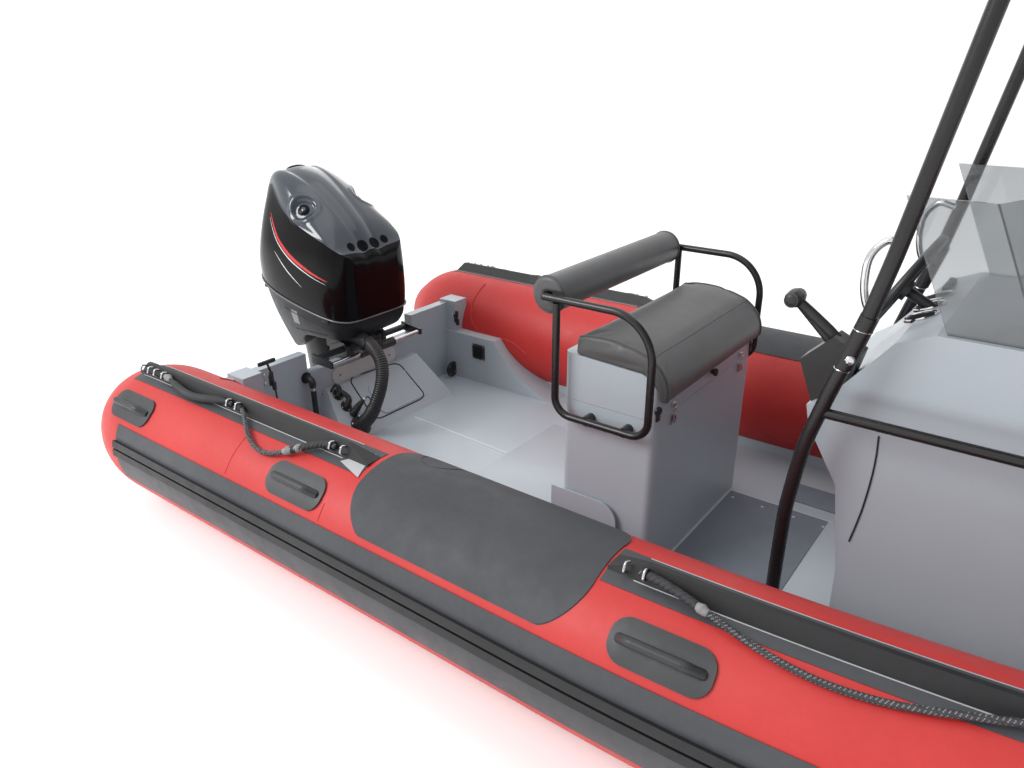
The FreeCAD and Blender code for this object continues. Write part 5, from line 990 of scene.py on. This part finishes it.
def make_rigging():
    """Rigging hose: a long corrugated run on the hull, then a boot at the engine."""
    points = [(0.1864, -0.215, 0.1117), (0.231, -0.215, 0.1512), (0.266, -0.206, 0.204), (0.287, -0.188, 0.268),
              (0.290, -0.156, 0.341), (0.272, -0.128, 0.404), (0.232, -0.112, 0.462), (0.166, -0.103, 0.497)]
    line = cord_line("rigging", points, 42)

    def hose(run, turn, share):
        cuff = 0.0032 if share < 0.29 else 0.0016 if share < 0.30 else 0.0
        return 0.0288 + 0.0026 * (0.5 + 0.5 * wave(run, 0.0105)) ** 0.6 + cuff

    def boot(run, turn, share):
        return 0.0292 + 0.0030 * (0.5 + 0.5 * wave(run, 0.0125)) + (0.0035 if share > 0.86 or share < 0.06 else 0.0)

    run = cord_skin("rigging_hose_run", line, 28, hose, ["hose_black"], None)
    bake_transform(run)
    boot_line = cord_line("rigging_boot", [(0.166, -0.103, 0.497), (0.120, -0.100, 0.5045), (0.080, -0.098, 0.508),
                                           (0.040, -0.0985, 0.5070), (0.008, -0.100, 0.505)], 20)
    cuff = cord_skin("rigging_boot", boot_line, 28, boot, ["hose_black"], None)
    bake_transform(cuff)
    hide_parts("rigging_hose")
    declared(run, points, line)


def make_drain():
    points = [(0.046, -0.368, 0.336), (0.046, -0.368, 0.28), (0.049, -0.369, 0.215), (0.054, -0.371, 0.15),
              (0.058, -0.373, 0.105), (0.061, -0.374, 0.067)]
    line = cord_line("drain", points, 26)
    drain = cord_skin("drain_hose_skin", line, 20, lambda run, turn, share: 0.0130 + 0.0005 * wave(run, 0.006),
                      ["hose_black"])
    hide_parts("drain_hose")
    band = Shape().lathe((0.046, -0.368, 0.327), -UP, [(0, 0.0150), (0.002, 0.0158), (0.011, 0.0158), (0.013, 0.0150)]
                         ).make("drain_clamp", "chrome_steel")
    declared(drain, points, line)


make_lines()
make_rigging()
make_drain()


# Fittings

def on_plane(u, v, point, normal):
    """Where the line of sight through a point of the picture meets a plane."""
    origin, way = pixel_ray(u, v)
    return origin + way * ((point - origin).dot(normal) / way.dot(normal))


def rounded(corners, share=0.16, steps=6):
    """A closed outline through corners that are cut round."""
    corners = [Vector(corner) for corner in corners]
    points = []
    for before, corner, after in zip(corners[-1:] + corners[:-1], corners, corners[1:] + corners[:1]):
        start, end = corner.lerp(before, share), corner.lerp(after, share)
        for s in (step / steps for step in range(steps + 1)):
            points.append(start * (1 - s) ** 2 + corner * 2 * s * (1 - s) + end * s ** 2)
    return [point.lerp(after, step / 4) for point, after in zip(points, points[1:] + points[:1])
            for step in range(4)] + points[:1]


def cap_screws(name, places, radius, material="chrome_steel", high=0.4):
    """Round screw heads; places lists points with their normals."""
    shape = Shape()
    for point, normal in places:
        shape.lathe(point - normal * 0.0006, normal,
                    [(0, radius), (radius * high * 0.6, radius * 0.94), (radius * high, radius * 0.6),
                     (radius * high, radius * 0.38), (radius * high * 0.55, radius * 0.30),
                     (radius * high * 0.55, 0.0)], 14)
    shape.make(name, material, sharp=35)


def soft_tube(name, points, radius, material, steps, sides):
    """A bent plain or ribbed part around a smooth line."""
    cord_skin(name, cord_line(name, points, steps), sides, radius, [material])


def loose_cord(name, points, radius, steps):
    """A thin cable between two fittings."""
    line = cord_line(name, points, steps)
    declared(cord_skin(name, line, 12, radius, ["hose_black"]), points, line)


def above(face, places):
    """Places over a face (point, normal), seen at picture points with a height each: (u, v, height)."""
    point, normal = face
    return [tuple(on_plane(u, v, point + normal * high, normal)) for u, v, high in places]


def bellows(full, small):
    return lambda run, turn, share: full + (small - full) * share + 0.0016 * wave(run, 0.0080) * (1 - share * 0.6)


def rigging_fittings():
    """Glands, elbows, boot and flange on the sloped box, with their cables, and the hatch's groove drawn as a dark
    line of painted shade.
    """
    # The hatch's groove: a dark line of painted shade.
    wrapped_line("box_hatch_groove", "rigging_box",
                 [pixel_ray(*place) for place in rounded([(348.2, 378.5), (375.5, 420.5), (426.5, 396.5),
                                                          (398.0, 362.0)])], 0.0028, "dark_hole", "hull", 0.35)
    screws = []
    for number, (u, v) in enumerate(((338.0, 395.0), (346.3, 406.2))):
        base, way = seen_at(u, v, "rigging_box")
        disc_on(f"box_gland_{number}", base - way * 0.001, way,
                [(0, 0.0290), (0.004, 0.0296), (0.007, 0.0280), (0.008, 0.0200), (0.016, 0.0175), (0.020, 0.0165)],
                "black_plastic", "hull", 26)
        side = way.orthogonal().normalized()
        screws += [(base + way * 0.006 + spot * 0.0235, way)
                   for spot in circle(side, way.cross(side), 4, math.radians(35))]
    cap_screws("box_gland_screws", screws, 0.0042)
    face = seen_at(338, 395, "rigging_box")
    bend = above(face, ((338.2, 395.2, 0.010), (339.8, 392.4, 0.023), (339.5, 389.8, 0.029), (338.5, 387.4, 0.031),
                        (337.7, 385.6, 0.030)))
    soft_tube("box_elbow_0", bend, bellows(0.0165, 0.0105), "black_plastic", 20, 18)
    soft_tube("box_elbow_1", above(face, ((346.3, 406.0, 0.012), (349.0, 402.4, 0.030), (349.2, 398.4, 0.044),
                                          (346.4, 395.0, 0.042), (341.6, 391.6, 0.030))),
              bellows(0.0160, 0.0100), "black_plastic", 20, 18)
    loose_cord("gland_cable", bend + [tuple(Vector(bend[-1]) + Vector((-0.018, -0.006, 0.000))),
                                      (0.036, -0.268, 0.254), (0.014, -0.272, 0.250), (-0.004, -0.274, 0.244)],
               0.0068, 24)
    disc_on("transom_grommet", (-0.001, -0.274, 0.2455), (0.93, 0.1, 0.35),
            [(0, 0.0125), (0.006, 0.0125), (0.010, 0.0095), (0.011, 0.0068)], "black_plastic", "hull", 20)
    face = seen_at(353.6, 413.5, "rigging_box")
    boot = above(face, ((353.2, 414.2, 0.004), (355.2, 410.8, 0.026), (358.0, 406.6, 0.044), (361.4, 402.2, 0.058),
                        (363.6, 400.2, 0.064)))
    soft_tube("box_boot", boot, lambda run, turn, share: 0.0185 - 0.0085 * max(0.0, share - 0.45) / 0.55
              + 0.0012 * wave(run, 0.009), "black_plastic", 18, 18)
    soft_tube("box_boot_collar", above(face, ((363.4, 400.4, 0.063), (364.3, 399.5, 0.0655), (365.2, 398.6, 0.068))),
              0.0088, "pale_plate", 8, 14)
    loose_cord("boot_cable", above(face, ((353.2, 414.2, 0.000),)) + boot[1:4]
               + above(face, ((365.0, 398.8, 0.067), (368.4, 395.4, 0.072)))
               + [(0.252, -0.188, 0.226), (0.284, -0.184, 0.258)], 0.0032, 24)
    centre, way = Vector((0.1800, -0.2150, 0.1060)), Vector((0.748, 0, 0.664)).normalized()
    disc_on("hose_flange_cap", centre - way * 0.004, way, [(0, 0.0518), (0.0045, 0.0526), (0.0118, 0.0526),
                                                           (0.0135, 0.0505), (0.0135, 0.0300)],
            "black_plastic", "hull", 40)
    disc_on("hose_flange_cuff", centre + way * 0.009, way, [(0, 0.0392), (0.004, 0.0398), (0.024, 0.0380),
                                                            (0.030, 0.0350), (0.031, 0.0290)],
            "black_plastic", "hull", 36)
    top, head, screws = centre + way * 0.0135, centre + way * 0.0125, []
    for u, v in ((350.6, 423.2), (364.0, 430.8)):
        offset = (on_plane(u, v, top, way) - top).normalized() * 0.0465
        screws += [(head + offset, way), (head - offset, way)]
    cap_screws("hose_flange_screws", screws, 0.0060, high=0.6)


def transom_fittings():
    """The pull handle, the cleats, the drain rings, the vents and their screws."""
    x = seen_at(262, 385, "transom")[0].x
    cap_screws("transom_screws_starboard", [seen_at(u, v, "transom") for u, v in ((264.0, 375.2), (265.4, 383.4))],
               0.0085, high=0.6)
    # Name, bevel and blocks of each fitting, then the name, radius, material and route of what hangs from it
    for name, bevel, blocks, tail in (
        ("pull_handle", 0.0045, (((0.014, -0.620, 0.543), (0.014, 0.088, 0.018)),),
         ("pull_stem", 0.0052, "black_plastic", ((0.014, -0.618, 0.536), (0.014, -0.612, 0.515),
                                                 (0.014, -0.604, 0.490), (0.014, -0.600, 0.470)))),
        ("cleat_starboard", 0.003, (((0.006, -0.602, 0.450), (0.012, 0.022, 0.050)),
                                    ((0.015, -0.606, 0.478), (0.014, 0.016, 0.034)),
                                    ((0.015, -0.597, 0.424), (0.014, 0.016, 0.040))),
         ("cleat_tail", 0.0040, "rope_black", ((0.018, -0.598, 0.420), (0.016, -0.594, 0.395),
                                               (0.012, -0.590, 0.372), (0.010, -0.588, 0.352)))),
        ("cleat_port", 0.003, (((0.006, 0.638, 0.405), (0.012, 0.024, 0.048)),
                               ((0.015, 0.636, 0.430), (0.014, 0.016, 0.036)),
                               ((0.015, 0.642, 0.382), (0.014, 0.016, 0.036))), None),
    ):
        shape = Shape()
        for (out, y, z), size in blocks:
            shape.block((x + out, y, z), size)
        shape.make(name, "black_plastic", bevel=bevel)
        if tail:
            tail_name, radius, material, route = tail
            soft_tube(tail_name, [(x + out, y, z) for out, y, z in route], radius, material, 12, 10)
    cap_screws("transom_screws_port", [(Vector((x, 0.622, 0.428)), FORE), (Vector((x, 0.653, 0.378)), FORE)],
               0.0085, high=0.6)
    screws = []
    for y, word in ((0.596, "port"), (-0.560, "starboard")):
        centre = Vector((x, y, 0.110))
        disc_on(f"drain_ring_{word}", centre, FORE, [(0, 0.045), (0.006, 0.0445), (0.009, 0.040), (0.0085, 0.026),
                                                     (0.003, 0.023), (0.002, 0.0)], "black_plastic", "hull", 32)
        screws += [(centre + FORE * 0.008 + spot, FORE)
                   for spot in circle(PORTWARD * 0.034, UP * 0.034, 4, math.radians(45))]
    cap_screws("drain_ring_screws", screws, 0.0045)
    for sign, word in SIDES:
        point, normal = surface_hit(f"side_locker_{word}", (0.240, 0, 0.245), (0, sign, 0))
        Shape().block(point + normal * 0.003, (0.086, 0.010, 0.086)).make(f"vent_{word}", "black_plastic", bevel=0.008)
        # Dark slats on the vent: painted shade in the gaps of the louvres.
        slats = Shape()
        for row in range(5):
            slats.block(point + normal * 0.0085 + UP * (0.012 * row - 0.024), (0.058, 0.003, 0.0045))
        slats.make(f"vent_slats_{word}", "dark_hole")
        cap_screws(f"vent_screws_{word}", [(point + normal * 0.0078 + Vector((dx, 0, dz)), normal)
                                           for dx in (-0.036, 0.036) for dz in (-0.036, 0.036)], 0.0045)


def seat_fittings():
    """Toggles with their hooks, the pull knob, corner plates and hinges of the seat."""
    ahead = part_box("seat_box")[1].x + 0.3
    for y, word in ((-0.290, "starboard"), (0.283, "port")):
        point, normal = surface_hit("seat_box", (ahead, y, 0.660), -FORE)

        def over(out, dy, dz):
            return point + normal * out + Vector((0, dy, dz))

        low = Shape().block(over(0.003, 0, -0.012), (0.006, 0.024, 0.040))
        low.tube([over(0.010, -0.010, 0.012), over(0.012, 0, 0.016), over(0.010, 0.010, 0.012)], 0.0032, sides=10)
        low.tube([over(0.012, -0.006, 0.014), over(0.014, -0.006, 0.034), over(0.014, 0.006, 0.034),
                  over(0.012, 0.006, 0.014)], 0.0022, sides=8)
        low.block(over(0.012, 0, -0.010), (0.005, 0.014, 0.030)).make(f"toggle_{word}", "chrome_steel", bevel=0.001)
        spot, way = surface_hit("seat_lid", (ahead, y, 0.700), -FORE)
        high = Shape().block(spot + way * 0.003, (0.006, 0.020, 0.020))
        high.block(spot + way * 0.008 + UP * 0.004, (0.008, 0.014, 0.006))
        high.make(f"toggle_hook_{word}", "chrome_steel", "seat_top", bevel=0.001)
    spot, way = surface_hit("seat_lid", (ahead, 0.02, 0.715), -FORE)
    disc_on("seat_knob", spot - way * 0.001, way, [(0, 0.010), (0.006, 0.008), (0.012, 0.013), (0.018, 0.015),
                                                   (0.023, 0.012), (0.024, 0.0)], "black_plastic", "seat_top")
    feet, hinges = Shape(), Shape()
    for y in (-0.392, 0.392):
        spot, way = surface_hit("seat_lid", (ahead, y, 0.712), -FORE)
        feet.lathe(spot - way * 0.001, way, [(0, 0.015), (0.007, 0.0145), (0.010, 0.010), (0.010, 0.0)], 20)
        feet.block(spot + way * 0.003 - UP * 0.020, (0.006, 0.020, 0.030))
    feet.make("seat_corner_feet", "black_plastic", "seat_top", sharp=35)
    for y in (-0.300, 0.0, 0.300):
        hinges.tube([(1.4585, y - 0.030, 0.676), (1.4585, y + 0.030, 0.676)], 0.0048)
        hinges.block((1.4590, y, 0.660), (0.003, 0.052, 0.024))
    hinges.make("seat_hinges", "chrome_steel", sharp=35)


rigging_fittings()
transom_fittings()
seat_fittings()


# Boat details

TUBE_Y, TUBE_Z, TUBE_RADIUS = 0.966, 0.300, 0.274
BEND_X, BEND_LENGTH = 1.9, 3.830
BOW_RISE, BOW_TAPER = 0.260, 0.049


def tube_ray(x, degrees, sign, lift=0.2):
    """A line towards the side tube's skin from outside it, at an angle from the outer middle."""
    u = math.asin(min(1.0, max(0.0, x - BEND_X) / BEND_LENGTH))
    centre = Vector((x, -TUBE_Y * math.cos(u), TUBE_Z + BOW_RISE * math.sin(u) ** 2))
    flat = Vector((TUBE_Y * math.sin(u), -BEND_LENGTH * math.cos(u), 0)).normalized()
    way = flat * math.cos(math.radians(degrees)) + UP * math.sin(math.radians(degrees))
    point = centre + way * (TUBE_RADIUS - BOW_TAPER * math.sin(u) ** 2 + lift)
    return (mirrored(point), -mirrored(way)) if sign > 0 else (point, -way)


def tube_lines():
    """Pale lines painted as highlights along the rails' edges, panel seams, flaps and patches on the tubes."""
    for sign, word in SIDES:
        tube = f"tube_{word}"
        edges, seams = Shape(), Shape()
        # Pale lines along the rail strips: painted highlights on the rail's lips.
        for low, high in ((-0.17, 1.035), (2.10, 4.60)):
            for degrees in (75.2, 95.4):
                count = int((high - low) / 0.045)
                edges.drawn("rail_strips", [tube_ray(low + (high - low) * at / count, degrees, sign)
                                            for at in range(count + 1)], 0.0004, 0.0016)
        edges.make(f"strip_highlights_{word}", "edge_pale")
        for x, low, high in ((0.602, 30, 66), (3.35, 30, 66), (1.09, 29, 42), (2.06, 29, 42)):
            seams.drawn(tube, [tube_ray(x, low + (high - low) * at / 16, sign) for at in range(17)], 0.0002, 0.0014)
        seams.make(f"tube_seams_{word}", "stripe_red")
        outline = smooth_line([(0.100, 1.12, 0), (0.105, 1.50, 0), (0.180, 1.72, 0), (0.420, 1.76, 0),
                               (0.520, 1.86, 0)], 46)
        Shape().drawn(tube, [tube_ray(place.x, place.y * 100, sign, 0.15) for place in outline], 0.0006, 0.0042, 8
                      ).make(f"tube_flap_{word}", "tube_fabric")
        # A corner tab: a grid drawn out from its first corner (x, degrees) towards two others
        rows = []
        for s in (step / 6 for step in range(7)):
            row = []
            for r in (step / 6 for step in range(7)):
                place = [first * (1 - s) + (second * (1 - r) + third * r) * s
                         for first, second, third in ((1.040, 1.150, 1.120), (72, 66, 90))]
                row.append(tube_ray(*place, sign))
            rows.append(hits(tube, row, 0.0040))
        Shape().rings(rows, closed=False).make(f"pad_tab_{word}", "edge_pale")
        rays = [tube_ray(1.30 + 0.075 * math.cos(turn), 118 - 17 * math.sin(turn), sign)
                for turn in (math.pi * at / 24 for at in range(25))]
        Shape().drawn("step_pads", rays, 0.0003, 0.0013).make(f"pad_patch_{word}", "rail_black")


def deck_details():
    """Tread panels darkened with painted shade, pale lines painted as highlights, screws and the step in the deck."""
    top = 0.0612
    Shape().block((1.165, 0.0, top + 0.004), (0.560, 0.84, 0.009)).make("deck_step", "gelcoat_grey", bevel=0.0035)
    # A pale line painted as the highlight along a deck edge.
    Shape().tube([(0.262, 0.075, top + 0.0010), (0.560, 0.062, top + 0.0010), (0.880, 0.046, top + 0.0010)],
                 0.0046, sides=8).make("deck_highlight_line", "gel_light")
    panel, edge = Shape(), Shape()
    # Dark tread panels: non-slip panels whose dark colour also paints the shade on the deck.
    for x, y, length, width in ((2.040, 0.0, 0.400, 0.700), (2.700, 0.5, 1.30, 0.150), (2.700, -0.5, 1.30, 0.150),
                                (3.660, 0.0, 1.12, 0.760)):
        panel.block((x, y, top + 0.0012), (length, width, 0.0036))
    panel.make("deck_treads", "deck_tread", bevel=0.0012)
    # Pale lines painted as highlights along the forward tread panel's sides.
    for y in (-0.352, 0.352):
        edge.tube([(1.836, y, top + 0.0008), (2.260, y, top + 0.0008)], 0.0024, sides=8)
    edge.make("deck_edge_highlights", "gel_light")
    places = [(Vector((x, y, top + 0.0030)), UP)
              for wide, rows in ((0.300, (1.867, 1.993, 2.120, 2.236)), (0.350, (3.14, 3.40, 3.66, 3.92, 4.18)))
              for x in rows for y in (-wide, wide)]
    cap_screws("deck_screws", places, 0.0060, material="pale_plate", high=0.25)


def leg_details():
    """Rings and bolts on the frame's sleeves, and the control box's lever and grip."""
    bolt = seen_at(849.8, 360.5, "top_frame")
    spots = [seen_at(858.5, 331.5, "top_frame"), seen_at(843.0, 372.5, "top_frame")]
    run = (spots[0][0] - spots[1][0]).normalized()
    for sign, word in SIDES:
        turned = mirrored if sign > 0 else Vector
        point, normal = turned(bolt[0]), turned(bolt[1])
        disc_on(f"sleeve_bolt_{word}", point - normal * 0.001, normal,
                [(0, 0.0125), (0.004, 0.0125), (0.007, 0.009), (0.0075, 0.004), (0.0055, 0.0035), (0.0055, 0.0)],
                "chrome_steel", "hull")
        for number, spot in enumerate(spots):
            centre = spot[0] - spot[1] * 0.024
            ways = circle(-PORTWARD, run.cross(-PORTWARD).normalized(), 36)
            rays = [(centre + way * 0.2, -way) for way in ways + ways[:1]]
            loop = [turned(place) for place in hits("top_frame", rays) if (place - centre).length < 0.06]
            Shape().tube(loop, 0.0016, sides=6).make(f"sleeve_ring_{word}_{number}", "chrome_steel")
    knob, foot = Vector((2.186, -0.322, 1.138)), Vector((2.318, -0.322, 1.040))
    way = (foot - knob).normalized()
    up = way.cross(PORTWARD).normalized()
    rings = [[knob.lerp(foot, share) + one for one in circle(up * wide, PORTWARD * deep, 16)]
             for share, wide, deep in ((0.02, 0.013, 0.013), (0.12, 0.015, 0.014), (0.45, 0.017, 0.015),
                                       (0.78, 0.018, 0.013), (1.0, 0.016, 0.012))]
    Shape().rings(rings).make("control_lever", "black_plastic", bevel=0.002)
    rings = [[knob + PORTWARD * y + one * wide for one in circle(up * 0.92, way, 8, 0.39)]
             for y, wide in ((-0.040, 0.010), (-0.036, 0.021), (-0.020, 0.026), (0.010, 0.027), (0.030, 0.024),
                             (0.036, 0.012))]
    Shape().rings(rings).make("control_grip", "black_plastic", bevel=0.004)


tube_lines()
deck_details()
leg_details()


# Canopy and console

def make_canopy():
    """A cloth cover drawn over the canopy board, with a piped rim."""
    low, high = Vector((2.300, -0.610, 2.020)), Vector((3.560, 0.610, 2.058))
    middle, half = (low + high) / 2, (high - low) / 2 + Vector((0.0022, 0.0022, 0))
    count, power, drop, crown = 36, 9.0, 0.030, 0.0036
    size = count + 1
    grid = [-1 + 2 * at / count for at in range(size)]
    points = []
    for u in grid:
        for v in grid:
            most = max(abs(u), abs(v))
            scale = most / (abs(u) ** power + abs(v) ** power) ** (1 / power) if most > 1e-6 else 0.0
            x, y = u * scale, v * scale
            z = high.z + 0.0020 + crown * (1 - most ** 2) + 0.0009 * math.sin(9 * x + 2 * y) * (1 - most)
            points.append((middle.x + half.x * x, middle.y + half.y * y, z - 0.0015 * most ** 12))
    faces = [(a * size + b, a * size + b + 1, (a + 1) * size + b + 1, (a + 1) * size + b)
             for a in range(count) for b in range(count)]
    rim = ([a * size for a in range(size)] + [count * size + b for b in range(1, size)]
           + [a * size + count for a in range(count - 1, -1, -1)] + list(range(count - 1, 0, -1)))
    last = rim
    for step in (0.25, 0.6, 1.0):
        fresh = list(range(len(points), len(points) + len(rim)))
        for x, y, z in [points[at] for at in rim]:
            points.append((x + (x - middle.x) * 0.0010, y + (y - middle.y) * 0.0012, z - drop * step))
        faces += [(last[at - 1], last[at], fresh[at], fresh[at - 1]) for at in range(len(rim))]
        last = fresh
    cover = add_mesh("canopy_cover", points, faces, "canopy_cloth", None)
    modified(cover, "SOLIDIFY", thickness=0.0012, offset=1.0)
    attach(cover, "hull")
    piping = [Vector(points[at]) - UP * 0.0012 for at in rim + rim[:1]]
    pipe = Shape().tube(piping, 0.0032, sides=8, caps=False).make("canopy_piping", "upholstery_seam")
    seam = Shape()
    for y in (-0.205, 0.205):
        seam.tube([(middle.x + (half.x - 0.004) * u, y, high.z + 0.0034 + crown * (1 - u * u) * 0.92) for u in grid],
                  0.0016, sides=6)
    seams = seam.make("canopy_seams", "upholstery_seam")


def console_details():
    """Blank dials, switches, door latch, cable, grips near the screen, bow latch and tow eye."""
    dials, bezels, switches = Shape(), Shape(), Shape()
    for y in (-0.120, 0.0, 0.120):
        point, normal = surface_hit("console_shell", (2.15, y, 1.50), (0.62, 0, -0.78))
        dials.lathe(point - normal * 0.002, normal, [(0, 0.040), (0.004, 0.040), (0.005, 0.036), (0.005, 0.0)], 32)
        bezels.lathe(point - normal * 0.002, normal, [(0, 0.046), (0.006, 0.046), (0.009, 0.043), (0.007, 0.040),
                                                      (0.0045, 0.040)], 32)
    dials.make("dash_dials", "dark_hole", sharp=35)
    bezels.make("dash_bezels", "chrome_steel", sharp=35)
    rays = [((2.13, 0.175 + 0.030 * at, 1.36), (0.80, 0, -0.60)) for at in range(5)]
    for point in hits("console_shell", rays, 0.004):
        switches.block(point, (0.020, 0.017, 0.028))
    switches.make("dash_switches", "black_plastic", bevel=0.002)
    latch = Shape().lathe((3.033, -0.180, 0.500), FORE, [(0, 0.030), (0.005, 0.030), (0.008, 0.026), (0.008, 0.0)],
                          28)
    latch.block((3.044, -0.180, 0.500), (0.008, 0.012, 0.040))
    latch.make("door_latch", "black_plastic", "console_hatch", bevel=0.0015)
    cable = smooth_line([(879, 436, 0), (876, 458, 0), (871, 480, 0), (862.5, 508, 0), (855.5, 526, 0),
                         (849, 541, 0)], 40)
    wrapped_line("console_cable", "console_shell", [pixel_ray(place.x, place.y) for place in cable], 0.0024,
                 "hose_black", "hull", 0.1)
    for sign, word in SIDES:
        y = sign * 0.335
        route = smooth_line([(2.400, y, 1.118), (2.372, y, 1.165), (2.360, y, 1.225), (2.366, y, 1.290),
                             (2.400, y * 0.985, 1.330), (2.446, y * 0.97, 1.322)], 30)
        Shape().tube(route, 0.0105, sides=14).make(f"screen_grip_{word}", "chrome_steel")
    point, normal = surface_hit("bow_locker_lid", (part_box("bow_locker_lid")[0].x + 0.045, 0.0, 0.7), -UP)
    disc_on("bow_lid_latch", point - normal * 0.001, normal, [(0, 0.027), (0.003, 0.027), (0.005, 0.022),
                                                              (0.002, 0.018), (0.002, 0.0)],
            "chrome_steel", "bow_hatch")
    point, normal = surface_hit("hull", (7.0, 0.0, 0.10), -FORE)
    turns = [math.pi * at / 14 for at in range(15)]
    eye = Shape().tube([point + normal * (0.002 + 0.036 * math.sin(turn)) + UP * 0.030 * math.cos(turn)
                        for turn in turns], 0.0062)
    for z in (-0.030, 0.030):
        eye.lathe(point + UP * z - normal * 0.012, normal, [(0, 0.018), (0.016, 0.018), (0.019, 0.012)], 20)
    eye.make("tow_eye", "chrome_steel", sharp=35)


make_canopy()
console_details()


bpy.context.scene.view_settings.view_transform = "Standard"
